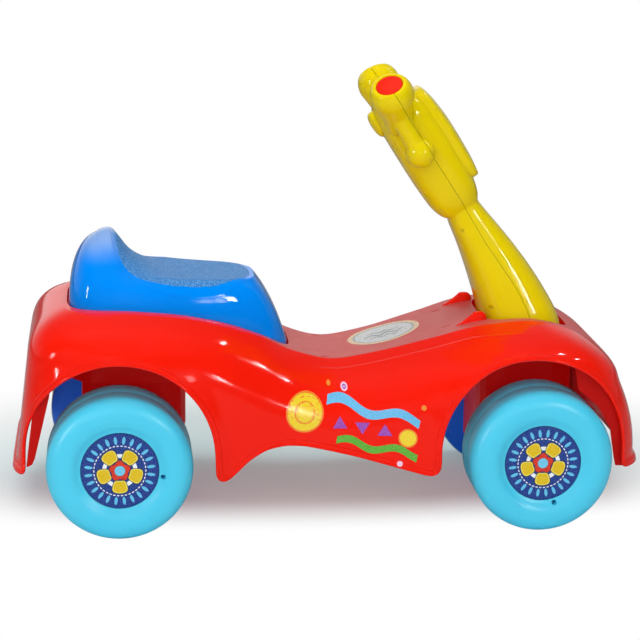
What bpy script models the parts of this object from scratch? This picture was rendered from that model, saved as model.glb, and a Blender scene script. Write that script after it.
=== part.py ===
# Toddler's ride-on car: one red moulded body on two steel axles, a lift-up seat over a storage bin,
# a fixed yellow steering column with a two-horned head, and push buttons on the head.
# Metres, +Z up, +X forward. The origin is on the floor under the middle of the body.
import bpy
import bmesh
import math
from mathutils import Matrix, Vector

# Driving dimensions
WHEELBASE = 0.436
REAR_AXLE_X = -0.21975
FRONT_AXLE_X = REAR_AXLE_X + WHEELBASE
AXLE_Z = 0.075
WHEEL_R = 0.075
WHEEL_OUTER_Y = 0.155
WHEEL_INNER_Y = 0.0805
AXLE_R = 0.004
AXLE_HOLE_R = 0.0043
FIT_GAP = 0.0003
SEAM_GAP = 0.0006
WALL = 0.003
CAP_R = 0.0398
FLAT_ANGLE = 1.2
HUB_PLANE_Y = 0.149

# Body shell, stations counted forward from the rear axle
BODY_HALF_WIDTH = 0.146
WAIST_HALF_WIDTH = 0.131
WAIST_STATION = 0.215
TAIL_FOOT = -0.1070
NOSE_FOOT = 0.5465
TAIL_WALL_TOP = -0.0938
NOSE_WALL_TOP = 0.5277
NOSE_BOW = 0.0055
TAIL_DECK = -0.0560
NOSE_DECK = 0.4790
SKIRT_FLOOR_Z = 0.050
CORNER_POWER = 7.0
# The top line of the body beside seat, deck and column: station and height
DECK_LINE = ((-0.060, 0.2250), (0.000, 0.2255), (0.050, 0.2220), (0.100, 0.2120), (0.150, 0.1938),
             (0.185, 0.1752), (0.225, 0.1660), (0.265, 0.1722), (0.330, 0.1895), (0.385, 0.2045),
             (0.430, 0.2080), (0.465, 0.2020), (0.490, 0.1910))
# Height where the side wall starts to roll over into the shoulder
SHOULDER_LINE = ((-0.100, 0.1825), (0.000, 0.1870), (0.080, 0.1650), (0.160, 0.1250), (0.225, 0.1080),
                 (0.300, 0.1220), (0.370, 0.1560), (0.430, 0.1780), (0.490, 0.1690), (0.528, 0.1490))
# Half width of the flat deck
DECK_WIDTH_LINE = ((-0.060, 0.0930), (0.060, 0.0880), (0.140, 0.0710), (0.200, 0.0535), (0.260, 0.0560),
                   (0.330, 0.0640), (0.390, 0.0700), (0.450, 0.0660), (0.490, 0.0600))
# Shoulder roll in degrees: under 90 leaves a crease along the deck
SHOULDER_ROLL_TAIL = 70.0
SHOULDER_ROLL_NOSE = 30.0
SHOULDER_ROLL_SIDE = 58.0

# Wheel arches and the wavy lower edge
REAR_ARCH_STATION = 0.000
FRONT_ARCH_STATION = 0.4275
ARCH_CENTRE_Z = 0.0862
ARCH_R = 0.0975
ARCH_FLARE = 0.0045
ARCH_FLARE_REACH = 0.020
TAIL_EDGE_Z = 0.0590
SKIRT_LINE = ((0.0985, 0.0640), (0.1035, 0.0585), (0.1110, 0.0600), (0.1320, 0.0800), (0.1500, 0.0905),
              (0.1700, 0.0940), (0.1900, 0.0925), (0.2450, 0.0800), (0.3180, 0.0610), (0.3260, 0.0620),
              (0.3300, 0.0690))
FOOT_LIP = 0.0045
FOOT_LIP_Z = 0.0660
BODY_SIDE_STEPS = 24
BODY_END_STEPS = 4
WALL_STEPS = 3
SHOULDER_STEPS = 4
ARCH_STEPS = 16
SEAT_STEPS = 4
# Screw bosses for the bin, ribs under the deck and the four short slots: station and distance from the middle
BIN_BOSSES = ((-0.0250, 0.0930), (0.1050, 0.0850))
DECK_RIBS = (0.2150, 0.2700, 0.3300)
DECK_SLOTS = ((0.2179, 0.0488), (0.3493, 0.0372))

# Seat opening and seat lid
OPENING_REAR = -0.0535
OPENING_FRONT = 0.1820
OPENING_REAR_HALF = 0.0805
OPENING_FRONT_HALF = 0.0600
COLLAR_WALL = 0.0025
COLLAR_DEPTH = 0.0200
SEAT_GAP = 0.0022
SEAT_WALL = 0.0028
SEAT_SKIRT = 0.0070
SEAT_TOP_LINE = ((-0.0300, 0.2860), (-0.0180, 0.2962), (-0.0080, 0.2985), (0.0000, 0.2908),
                 (0.0100, 0.2770), (0.0200, 0.2685), (0.0350, 0.2598), (0.0550, 0.2545),
                 (0.0900, 0.2520), (0.1200, 0.2508), (0.1430, 0.2490))
# How far the front of the seat runs straight down instead of bulging
SEAT_FRONT_STRAIGHT = 0.75
SEAT_TOP_REAR = -0.0225
SEAT_TOP_FRONT = 0.1445
SEAT_TOP_HALF = 0.0560
HINGE_STATION = 0.1550
HINGE_Z = 0.1860
HINGE_PIN_R = 0.0025
HINGE_EAR_R = 0.0065

# Storage bin and front housing
BIN_REAR = -0.0390
BIN_FRONT = 0.0710
BIN_HALF = 0.0660
BIN_FLOOR_Z = 0.0940
SHELF_Z = 0.1500
BIN_WALL = 0.0025
FLANGE = 0.0085
HOUSING_REAR = 0.3850
HOUSING_FRONT = 0.4850
HOUSING_HALF = 0.0660
HOUSING_TOP_Z = 0.1880
HOUSING_FOOT_Z = 0.0540
AXLE_BOSS_R = 0.0115
AXLE_BOSS_END_Y = 0.0770

# Steering column and head. The head frame has its own origin at the neck and leans towards the rider.
HEAD_NECK = (0.3750, 0.3126)
HEAD_LEAN = math.radians(34.0)
YELLOW_WALL = 0.0028
# Column slices: height, rear station, front station, half width
COLUMN_SLICES = ((0.1885, 0.3927, 0.4790, 0.0560), (0.2050, 0.3902, 0.4740, 0.0545),
                 (0.2300, 0.3827, 0.4605, 0.0475), (0.2550, 0.3742, 0.4440, 0.0405),
                 (0.2800, 0.3647, 0.4250, 0.0335), (0.3020, 0.3552, 0.4065, 0.0275),
                 (0.3180, 0.3500, 0.3924, 0.0240), (0.3380, 0.3425, 0.3765, 0.0220))
# Head slices: distance up the head, rider side, front side, half width
HEAD_SLICES = ((0.0000, -0.0120, 0.0100, 0.0130), (0.0050, -0.0190, 0.0150, 0.0200),
               (0.0140, -0.0265, 0.0210, 0.0265), (0.0300, -0.0305, 0.0255, 0.0315),
               (0.0600, -0.0315, 0.0290, 0.0350), (0.0950, -0.0310, 0.0300, 0.0375),
               (0.1250, -0.0300, 0.0280, 0.0390), (0.1430, -0.0280, 0.0235, 0.0360),
               (0.1530, -0.0225, 0.0160, 0.0290), (0.1580, -0.0120, 0.0060, 0.0160))
HORN_CENTRE = (0.1605, -0.0015, 0.0525)
HORN_AIM = (0.82, 0.19, 0.54)
HORN_BULB_R = 0.0230
HORN_END = 0.0146
HORN_ROOT = -0.0450
HORN_WAIST_R = 0.0160
KNOB_CENTRE = (0.0916, -0.0095, 0.0450)
KNOB_R = 0.0155
BUTTON_R = 0.0138
BUTTON_TRAVEL = 0.0025
BUTTON_POCKET_DEPTH = 0.0065
BUTTON_THICK = 0.0035
BUTTON_DOME = 0.0015
STEM_R = 0.0045
STEM_LENGTH = 0.0120
GUIDE_WALL = 0.0030
HORN_BUTTON_A = 0.1340
HORN_BUTTON_R = 0.0150
HORN_BUTTON_PROUD = 0.0060
PLATE_PROUD = 0.0070
PLATE_LOW = 0.0300
PLATE_HIGH = 0.1440
PLATE_HALF = 0.0290

# Where the column halves part: station and height
COLUMN_PARTING = ((0.3867, 0.2898), (0.4074, 0.2603), (0.4256, 0.2324), (0.4369, 0.2061), (0.4480, 0.1600))
COLUMN_HOLE_REAR = 0.3880
COLUMN_HOLE_FRONT = 0.4812
COLUMN_HOLE_HALF = 0.0575
SPIGOT_REAR = 0.4020
SPIGOT_FRONT = 0.4620
SPIGOT_HALF = 0.0350
SPIGOT_TOP_Z = 0.2080

# Running gear
AXLE_END_Y = 0.1360
INNER_SHOULDER = 0.0120
OUTER_SHOULDER = 0.0155
CAP_SEAT_Y = 0.1465
NUT_POCKET_R = 0.0140
NUT_POCKET_Y = 0.1300
WHEEL_STEPS = 24
AXLE_WEB = ((-0.0340, 0.0960), (-0.0110, 0.0660), (0.0110, 0.0660), (0.0340, 0.0960))
LID_LEDGE = ((-0.0545, 0.2137), (-0.0465, 0.2137), (-0.0465, 0.2175), (-0.0545, 0.2175))

# Lugs that flank the column on the deck
LUG_TIP_STATION = 0.3580
LUG_LENGTH = 0.0330
LUG_HALF = 0.0085
LUG_Y = 0.0480
LUG_HEIGHT = 0.0100


def station(distance):
    return REAR_AXLE_X + distance


def clear_scene():
    for item in list(bpy.data.objects):
        bpy.data.objects.remove(item, do_unlink=True)


def make_material(name, red, green, blue, roughness, metallic=0.0):
    material = bpy.data.materials.new(name)
    material.use_nodes = True
    shader = material.node_tree.nodes["Principled BSDF"]
    shader.inputs["Base Color"].default_value = (red, green, blue, 1.0)
    shader.inputs["Roughness"].default_value = roughness
    shader.inputs["Metallic"].default_value = metallic
    material.diffuse_color = (red, green, blue, 1.0)
    return material


# A smooth curve through a few named points, with a slope that never overshoots
def smooth_line(points, x):
    if x <= points[0][0]:
        return points[0][1]
    if x >= points[-1][0]:
        return points[-1][1]
    slopes = []
    for k in range(len(points) - 1):
        slopes.append((points[k + 1][1] - points[k][1]) / (points[k + 1][0] - points[k][0]))
    tangents = [slopes[0]]
    for k in range(1, len(slopes)):
        if slopes[k - 1] * slopes[k] <= 0.0:
            tangents.append(0.0)
        else:
            tangents.append(2.0 * slopes[k - 1] * slopes[k] / (slopes[k - 1] + slopes[k]))
    tangents.append(slopes[-1])
    k = 0
    while x > points[k + 1][0]:
        k += 1
    span = points[k + 1][0] - points[k][0]
    t = (x - points[k][0]) / span
    low = points[k][1] * (2 * t ** 3 - 3 * t ** 2 + 1) + tangents[k] * span * (t ** 3 - 2 * t ** 2 + t)
    high = points[k + 1][1] * (3 * t ** 2 - 2 * t ** 3) + tangents[k + 1] * span * (t ** 3 - t ** 2)
    return low + high


def mix(a, b, t):
    return a + (b - a) * t


def finish(mesh_object, material, smooth_angle=35.0):
    work = bmesh.new()
    work.from_mesh(mesh_object.data)
    bmesh.ops.dissolve_degenerate(work, edges=work.edges, dist=2e-5)
    bmesh.ops.dissolve_limit(work, angle_limit=math.radians(FLAT_ANGLE), verts=work.verts, edges=work.edges)
    bmesh.ops.triangulate(work, faces=work.faces)
    work.to_mesh(mesh_object.data)
    work.free()
    mesh_object.data.materials.clear()
    mesh_object.data.materials.append(material)
    mesh_object.data.shade_smooth()
    mesh_object.data.set_sharp_from_angle(angle=math.radians(smooth_angle))
    return mesh_object


def is_twisted(face):
    corners = [corner.co for corner in face.verts]
    if len(corners) != 4:
        return False
    across = (corners[1] - corners[0]).cross(corners[3] - corners[0])
    if across.length < 1e-12:
        return True
    return abs((corners[2] - corners[0]).dot(across.normalized())) > 1e-6


def new_object(name, vertices, faces):
    mesh = bpy.data.meshes.new(name)
    mesh.from_pydata([tuple(v) for v in vertices], [], faces)
    mesh.update()
    made = bpy.data.objects.new(name, mesh)
    bpy.context.scene.collection.objects.link(made)
    work = bmesh.new()
    work.from_mesh(mesh)
    bmesh.ops.remove_doubles(work, verts=work.verts, dist=1e-6)
    bmesh.ops.triangulate(work, faces=[face for face in work.faces if is_twisted(face)])
    bmesh.ops.recalc_face_normals(work, faces=work.faces)
    work.to_mesh(mesh)
    work.free()
    return made


# Closed solid from rings of equal length, each ring a closed loop of points
# A bored solid has no caps: its last ring joins its first round the hole
def ring_solid(name, rings, ladder_top=False, ladder_floor=False, bored=False):
    count = len(rings[0])
    vertices = []
    for ring in rings:
        vertices.extend(ring)
    faces = []
    joins = len(rings) if bored else len(rings) - 1
    for level in range(joins):
        base = level * count
        above = ((level + 1) % len(rings)) * count
        for i in range(count):
            j = (i + 1) % count
            faces.append((base + i, base + j, above + j, above + i))
    if not bored:
        cap_loop(faces, 0, count, ladder_floor)
        cap_loop(faces, (len(rings) - 1) * count, count, ladder_top)
    return new_object(name, vertices, faces)


# A ladder joins each point to its mirror point, so a cap can follow a curved side line
def cap_loop(faces, base, count, ladder):
    if not ladder:
        faces.append(tuple(base + i for i in range(count)))
        return
    half = count // 2
    faces.append((base, base + 1, base + count - 1))
    for i in range(1, half - 1):
        faces.append((base + i, base + i + 1, base + count - i - 1, base + count - i))
    faces.append((base + half - 1, base + half, base + half + 1))


# Upright prism: plan points, each with its own lower and upper height
def plan_prism(name, points, low, high):
    bottom = [(x, y, low(x)) for x, y in points]
    top = [(x, y, high(x)) for x, y in points]
    return ring_solid(name, [bottom, top], True, True)


# Prism across the car from a side-view outline
def side_prism(name, outline, y_low, y_high):
    near = [(x, y_low, z) for x, z in outline]
    far = [(x, y_high, z) for x, z in outline]
    return ring_solid(name, [near, far])


# Turned solid: profile of (distance along the axis, radius) from one end to the other
def turned(name, profile, centre, axis, steps, bored=False):
    axis = Vector(axis).normalized()
    across = Vector((0.0, 0.0, 1.0)) - axis * axis.z
    if across.length < 0.1:
        across = Vector((1.0, 0.0, 0.0)) - axis * axis.x
    across.normalize()
    up = axis.cross(across)
    rings = []
    for along, radius in profile:
        ring = []
        for i in range(steps):
            angle = 2.0 * math.pi * (i + 0.5) / steps
            offset = across * (math.cos(angle) * radius) + up * (math.sin(angle) * radius)
            ring.append(Vector(centre) + axis * along + offset)
        rings.append(ring)
    return ring_solid(name, rings, bored=bored)


def combine(target, tool, operation):
    modifier = target.modifiers.new("combine", 'BOOLEAN')
    modifier.operation = operation
    modifier.object = tool
    bpy.context.view_layer.objects.active = target
    with bpy.context.temp_override(object=target, active_object=target, selected_objects=[target]):
        bpy.ops.object.modifier_apply(modifier=modifier.name)
    bpy.data.objects.remove(tool, do_unlink=True)
    return target


def cut(target, tool):
    return combine(target, tool, 'DIFFERENCE')


def join(target, tool):
    return combine(target, tool, 'UNION')


def keep_common(target, tool):
    return combine(target, tool, 'INTERSECT')



# Plan directions round an outline, nose first: fractions of the half length and the half width
def plan_directions(side_steps, end_steps, power):
    angles = [math.atan2(i / end_steps, 1.0) for i in range(end_steps)]
    for i in range(side_steps + 1):
        angles.append(math.atan2(1.0, math.sin(0.5 * math.pi * (1.0 - 2.0 * i / side_steps))))
    angles += [math.atan2(i / end_steps, -1.0) for i in reversed(range(end_steps))]
    half = []
    for a in angles:
        reach = (abs(math.cos(a)) ** power + abs(math.sin(a)) ** power) ** (1.0 / power)
        half.append((math.cos(a) / reach, math.sin(a) / reach))
    half[0] = (1.0, 0.0)
    half[-1] = (-1.0, 0.0)
    return half + [(s, -w) for s, w in reversed(half[1:-1])]


def along_body(tail, nose, s):
    return mix(tail, nose, 0.5 * (s + 1.0))


# Body shell
def body_half_width(x):
    away = min(1.0, abs(x - WAIST_STATION) / 0.150)
    waist = 0.5 * (1.0 + math.cos(math.pi * away))
    return BODY_HALF_WIDTH - (BODY_HALF_WIDTH - WAIST_HALF_WIDTH) * waist


def arch_flare(x, z):
    out = 0.0
    for centre in (REAR_ARCH_STATION, FRONT_ARCH_STATION):
        reach = (math.hypot(x - centre, z - ARCH_CENTRE_Z) - ARCH_R) / ARCH_FLARE_REACH
        near = min(1.0, max(0.0, 1.0 - reach))
        out = max(out, ARCH_FLARE * near * near * (3.0 - 2.0 * near))
    return out


def body_points(s, w, inset, floor):
    foot_x = along_body(TAIL_FOOT + inset, NOSE_FOOT - inset, s)
    wall_x = along_body(TAIL_WALL_TOP + inset, NOSE_WALL_TOP - inset, s)
    deck_x = along_body(TAIL_DECK, NOSE_DECK, s)
    foot_y = w * (body_half_width(foot_x) - inset)
    wall_y = w * (body_half_width(wall_x) - 0.003 - inset)
    deck_y = w * (smooth_line(DECK_WIDTH_LINE, deck_x) - 0.3 * inset)
    wall_z = smooth_line(SHOULDER_LINE, wall_x) - 0.5 * inset
    deck_z = smooth_line(DECK_LINE, deck_x) - inset
    lip = FOOT_LIP * s ** 9
    column = [(foot_x + lip, foot_y, floor)]
    column.append((foot_x + lip, foot_y, FOOT_LIP_Z))
    column.append((foot_x, foot_y, FOOT_LIP_Z + 1.5 * FOOT_LIP))
    for k in range(1, WALL_STEPS + 1):
        t = k / WALL_STEPS
        bow = NOSE_BOW * max(0.0, s) ** 6 * 4.0 * t * (1.0 - t)
        column.append((mix(foot_x, wall_x, t) + bow, mix(foot_y, wall_y, t), mix(column[2][2], wall_z, t)))
    end_roll = SHOULDER_ROLL_NOSE if s > 0.0 else SHOULDER_ROLL_TAIL
    roll = math.radians(mix(SHOULDER_ROLL_SIDE, end_roll, abs(s) ** 6))
    for k in range(1, SHOULDER_STEPS + 1):
        angle = roll * k / SHOULDER_STEPS
        inward = (1.0 - math.cos(angle)) / (1.0 - math.cos(roll))
        rise = math.sin(angle) / math.sin(roll)
        column.append((mix(wall_x, deck_x, inward), mix(wall_y, deck_y, inward), mix(wall_z, deck_z, rise)))
    flared = []
    for x, y, z in column:
        flared.append((station(x), y + w * arch_flare(x, z), z))
    return flared


def body_form(name, inset, floor):
    directions = plan_directions(BODY_SIDE_STEPS, BODY_END_STEPS, CORNER_POWER)
    columns = [body_points(s, w, inset, floor) for s, w in directions]
    rings = [[column[level] for column in columns] for level in range(len(columns[0]))]
    return ring_solid(name, rings, ladder_top=True)


def arch_arc(centre, steps):
    points = []
    for i in range(steps + 1):
        angle = math.pi * (1.0 - i / steps)
        points.append((station(centre + ARCH_R * math.cos(angle)), ARCH_CENTRE_Z + ARCH_R * math.sin(angle)))
    return points


# Everything under the lower edge of the body: tail, arch, skirt, arch, nose
def underside_outline():
    deep = 0.020
    rear_leg = REAR_ARCH_STATION - ARCH_R
    front_leg = FRONT_ARCH_STATION + ARCH_R
    outline = [(station(TAIL_FOOT - 0.030), deep), (station(TAIL_FOOT - 0.030), TAIL_EDGE_Z)]
    outline.append((station(rear_leg), TAIL_EDGE_Z + 0.004))
    outline += arch_arc(REAR_ARCH_STATION, ARCH_STEPS)
    outline += [(station(x), z) for x, z in SKIRT_LINE]
    outline += arch_arc(FRONT_ARCH_STATION, ARCH_STEPS)
    outline.append((station(front_leg), TAIL_EDGE_Z + 0.004))
    outline += [(station(NOSE_FOOT + 0.030), TAIL_EDGE_Z), (station(NOSE_FOOT + 0.030), deep)]
    return outline


def opening_plan(grow, side_steps=12, end_steps=3):
    points = []
    for s, w in plan_directions(side_steps, end_steps, 4.5):
        x = along_body(OPENING_REAR, OPENING_FRONT, s)
        half = mix(OPENING_REAR_HALF, OPENING_FRONT_HALF, min(1.0, max(0.0, (x - 0.02) / 0.16)))
        points.append((station(x + grow * s * abs(s) ** 7), w * (half + grow)))
    return points


def deck_height(x):
    return smooth_line(DECK_LINE, x - REAR_AXLE_X)


def column_hole_plan(grow):
    points = []
    for s, w in plan_directions(8, 3, 4.5):
        points.append((station(along_body(COLUMN_HOLE_REAR - grow, COLUMN_HOLE_FRONT + grow, s)), w * (COLUMN_HOLE_HALF + grow)))
    return points


def lug(name, side, inset):
    rings = []
    for scale, height in ((1.0, -0.004), (1.0, 0.35), (0.86, 0.75), (0.55, 1.0)):
        ring = []
        for i in range(16):
            angle = 2.0 * math.pi * i / 16
            reach = 0.5 * (1.0 - math.cos(angle))
            half = (LUG_HALF - inset) * math.sin(angle) * (0.35 + 0.65 * reach) * scale
            x = LUG_TIP_STATION + LUG_LENGTH * (0.5 + (reach - 0.5) * scale)
            rise = height if height < 0.0 else height * (LUG_HEIGHT - inset) * (0.25 + 0.75 * reach)
            ring.append((station(x), side * (LUG_Y + half), smooth_line(DECK_LINE, x) + rise))
        rings.append(ring)
    return ring_solid(name, rings)


# Gusset plates inside the four legs, their slanted edge facing the wheel
def gusset_outlines():
    tail = ((-0.1200, 0.0715), (-0.0950, 0.0715), (-0.0890, 0.0745), (-0.0862, 0.0810), (-0.0706, 0.1460),
            (-0.0620, 0.2000), (-0.1200, 0.2000))
    nose = ((0.5700, 0.0620), (0.5290, 0.0620), (0.5200, 0.0625), (0.5175, 0.0740), (0.5126, 0.1029),
            (0.4984, 0.1274), (0.4768, 0.1456), (0.4700, 0.1850), (0.5700, 0.1850))
    return (tail, nose)


def build_body_shell(red):
    shell = body_form("body_shell", 0.0, SKIRT_FLOOR_Z)
    for side in (-1.0, 1.0):
        join(shell, lug("lug_form", side, 0.0))
    inside = body_form("inside_form", WALL, SKIRT_FLOOR_Z - 0.020)
    collar = plan_prism("collar_form", opening_plan(COLLAR_WALL), collar_foot, above_deck)
    cut(inside, collar)
    cut(inside, plan_prism("column_collar_form", column_hole_plan(COLLAR_WALL), on_housing, above_deck))
    for x, y in BIN_BOSSES:
        for side in (-1.0, 1.0):
            boss = [(station(x) + 0.0055 * s, side * y + 0.0055 * w) for s, w in plan_directions(3, 2, 2.0)]
            cut(inside, plan_prism("boss_form", boss, collar_foot, above_deck))
    for x in DECK_RIBS:
        rib = side_prism("rib_form", rib_outline(x), -0.110, 0.110)
        cut(inside, rib)
    cut(shell, inside)
    cut(shell, side_prism("underside_form", underside_outline(), -0.20, 0.20))
    cut(shell, plan_prism("opening_form", opening_plan(0.0), far_below, above_deck))
    cut(shell, plan_prism("column_hole_form", column_hole_plan(0.0), far_below, above_deck))
    for x, y in DECK_SLOTS:
        for side in (-1.0, 1.0):
            plan = [(station(x + 0.0050 * s), side * y + 0.0014 * w) for s, w in plan_directions(2, 2, 2.5)]
            cut(shell, plan_prism("slot_form", plan, far_below, above_deck))
    for side in (-1.0, 1.0):
        for outline in gusset_outlines():
            low = min(side * 0.1180, side * 0.1205)
            plate = side_prism("gusset_form", [(station(x), z) for x, z in outline], low, low + 0.0025)
            keep_common(plate, body_form("trim_form", 0.0010, SKIRT_FLOOR_Z))
            join(shell, plate)
    ledge = [(station(x), z) for x, z in LID_LEDGE]
    join(shell, side_prism("ledge_form", ledge, -0.025, 0.025))
    cut(shell, across_rod("pin_form", HINGE_STATION, HINGE_Z, HINGE_PIN_R + FIT_GAP, 0.075, 12))
    return finish(shell, red)


def collar_foot(x):
    return deck_height(x) - COLLAR_DEPTH


def above_deck(x):
    return deck_height(x) + 0.030


def far_below(x):
    return 0.110


def rib_outline(x):
    top = smooth_line(DECK_LINE, x) + 0.010
    low = smooth_line(DECK_LINE, x) - 0.014
    return [(station(x), low), (station(x + 0.0022), low), (station(x + 0.0022), top), (station(x), top)]


# Seat lid
def seat_rim(x):
    return deck_height(x)


def seat_top(x, w):
    hump = smooth_line(SEAT_TOP_LINE, x)
    plain = min(hump, 0.2550)
    return mix(plain, hump, 1.0 - 0.85 * abs(w) ** 2.2)


def seat_column(s, w, inset, floor_drop):
    gap = SEAT_GAP + inset
    rim_x = along_body(OPENING_REAR + gap, OPENING_FRONT - gap, s)
    half = mix(OPENING_REAR_HALF, OPENING_FRONT_HALF, min(1.0, max(0.0, (rim_x - 0.02) / 0.16)))
    rim_y = w * (half - gap)
    rim_z = seat_rim(station(rim_x))
    top_x = along_body(SEAT_TOP_REAR + inset, SEAT_TOP_FRONT - inset, s)
    top_y = w * (SEAT_TOP_HALF * (1.0 - 0.18 * max(0.0, s)) - inset)
    skirt = mix(SEAT_SKIRT, 0.0105, min(1.0, max(0.0, (rim_x - 0.12) / 0.04)))
    column = [(rim_x, rim_y, rim_z - skirt - floor_drop), (rim_x, rim_y, rim_z + 0.002)]
    top_z = seat_top(top_x, w) - inset
    roll = math.radians(80.0)
    for k in range(1, SEAT_STEPS + 1):
        angle = roll * k / SEAT_STEPS
        straight = SEAT_FRONT_STRAIGHT * max(0.0, s) ** 6
        inward = mix((1.0 - math.cos(angle)) / (1.0 - math.cos(roll)), k / SEAT_STEPS, straight)
        rise = mix(math.sin(angle) / math.sin(roll), (k / SEAT_STEPS) ** 0.85, straight)
        column.append((mix(rim_x, top_x, inward), mix(rim_y, top_y, inward), mix(rim_z, top_z, rise)))
    for share in (0.75, 0.45):
        column.append((top_x, top_y * share, seat_top(top_x, w * share) - inset))
    return [(station(x), y, z) for x, y, z in column]


def seat_form(name, inset, floor_drop):
    columns = [seat_column(s, w, inset, floor_drop) for s, w in plan_directions(16, 3, 4.5)]
    rings = [[column[level] for column in columns] for level in range(len(columns[0]))]
    return ring_solid(name, rings, ladder_top=True, ladder_floor=True)


def build_seat(blue):
    lid = seat_form("seat_lid", 0.0, 0.0)
    cut(lid, seat_form("seat_inside_form", SEAT_WALL, 0.030))
    for side in (-1.0, 1.0):
        ear = ((0.0520, HINGE_EAR_R), (0.0552, HINGE_EAR_R))
        join(lid, turned("ear_form", ear, (station(HINGE_STATION), 0.0, HINGE_Z), (0, side, 0), 14))
    cut(lid, across_rod("pin_form", HINGE_STATION, HINGE_Z, HINGE_PIN_R + FIT_GAP, 0.075, 12))
    return finish(lid, blue, 40.0)


def build_hinge_pins(steel):
    for name, side in (("seat_pin_near", -1.0), ("seat_pin_far", 1.0)):
        profile = ((0.0510, HINGE_PIN_R - 0.0004), (0.0514, HINGE_PIN_R), (0.0640, HINGE_PIN_R))
        finish(turned(name, profile, (station(HINGE_STATION), 0.0, HINGE_Z), (0, side, 0), 12), steel)


# Storage bin: a shelved tub hung under the seat collar, with the rear axle bosses below it
def tub_plan(grow):
    half_length = 0.5 * (BIN_FRONT - BIN_REAR) + grow
    middle = 0.5 * (BIN_FRONT + BIN_REAR)
    half = BIN_HALF + grow
    return [(station(middle + half_length * s), w * half) for s, w in plan_directions(6, 4, 6.0)]


def build_storage_bin(red):
    tub = plan_prism("storage_bin", opening_plan(-0.0004), level(SHELF_Z - BIN_WALL), below_collar(0.0008))
    join(tub, plan_prism("flange_form", opening_plan(FLANGE), below_collar(0.0031), below_collar(SEAM_GAP)))
    for x, y in BIN_BOSSES:
        for side in (-1.0, 1.0):
            tab = [(station(x) + 0.0075 * s, side * (y - 0.0050) + 0.0125 * w) for s, w in plan_directions(3, 2, 2.0)]
            join(tub, plan_prism("tab_form", tab, below_collar(0.0031), below_collar(SEAM_GAP)))
    join(tub, plan_prism("deep_form", tub_plan(0.0), level(BIN_FLOOR_Z), level(SHELF_Z - 0.0010)))
    for side in (-1.0, 1.0):
        web = [(station(x), z) for x, z in AXLE_WEB]
        low = min(side * 0.0580, side * 0.0620)
        join(tub, side_prism("web_form", web, low, low + 0.0040))
        boss = ((0.0560, AXLE_BOSS_R), (AXLE_BOSS_END_Y, AXLE_BOSS_R))
        join(tub, turned("boss_form", boss, (REAR_AXLE_X, 0.0, AXLE_Z), (0, side, 0), 16))
    cut(tub, plan_prism("tub_inside_form", opening_plan(-0.0004 - BIN_WALL), level(SHELF_Z), level(0.30)))
    cut(tub, plan_prism("deep_inside_form", tub_plan(-BIN_WALL), level(BIN_FLOOR_Z + BIN_WALL), level(0.29)))
    cut(tub, across_rod("axle_form", 0.0, AXLE_Z, AXLE_HOLE_R, 0.10, 16))
    return finish(tub, red)


# Front housing: an upturned tub that carries the front axle and the foot of the column
def housing_plan(rear, front, half, inset, power):
    middle = 0.5 * (rear + front)
    reach = 0.5 * (front - rear) - inset
    return [(station(middle + reach * s), w * (half - inset)) for s, w in plan_directions(6, 4, power)]


def build_front_housing(red):
    outer = housing_plan(HOUSING_REAR, HOUSING_FRONT, HOUSING_HALF, 0.0, 6.0)
    box = plan_prism("front_housing", outer, level(HOUSING_FOOT_Z), level(HOUSING_TOP_Z))
    spigot = housing_plan(SPIGOT_REAR, SPIGOT_FRONT, SPIGOT_HALF, 0.0, 6.0)
    join(box, plan_prism("spigot_form", spigot, level(HOUSING_TOP_Z - 0.001), level(SPIGOT_TOP_Z)))
    for side in (-1.0, 1.0):
        boss = ((0.0600, AXLE_BOSS_R), (AXLE_BOSS_END_Y, AXLE_BOSS_R))
        join(box, turned("boss_form", boss, (FRONT_AXLE_X, 0.0, AXLE_Z), (0, side, 0), 16))
    inner = housing_plan(HOUSING_REAR, HOUSING_FRONT, HOUSING_HALF, WALL, 6.0)
    cut(box, plan_prism("housing_inside_form", inner, level(0.02), level(HOUSING_TOP_Z - WALL)))
    hollow = housing_plan(SPIGOT_REAR, SPIGOT_FRONT, SPIGOT_HALF, WALL, 6.0)
    cut(box, plan_prism("spigot_inside_form", hollow, level(0.03), level(SPIGOT_TOP_Z - WALL)))
    cut(box, across_rod("axle_form", WHEELBASE, AXLE_Z, AXLE_HOLE_R, 0.10, 16))
    return finish(box, red)


def level(z):
    return lambda x: z


def below_collar(drop):
    return lambda x: collar_foot(x) - drop


def on_housing(x):
    return HOUSING_TOP_Z + FIT_GAP


def across_rod(name, x, z, radius, half_length, steps):
    return turned(name, ((-half_length, radius), (half_length, radius)), (station(x), 0.0, z), (0, 1, 0), steps)


# Running gear
def build_axle(name, x, steel):
    profile = ((-AXLE_END_Y, 0.0034), (-AXLE_END_Y + 0.0006, AXLE_R), (AXLE_END_Y - 0.0006, AXLE_R),
               (AXLE_END_Y, 0.0034))
    return finish(turned(name, profile, (x, 0.0, AXLE_Z), (0, 1, 0), 16), steel)


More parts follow.
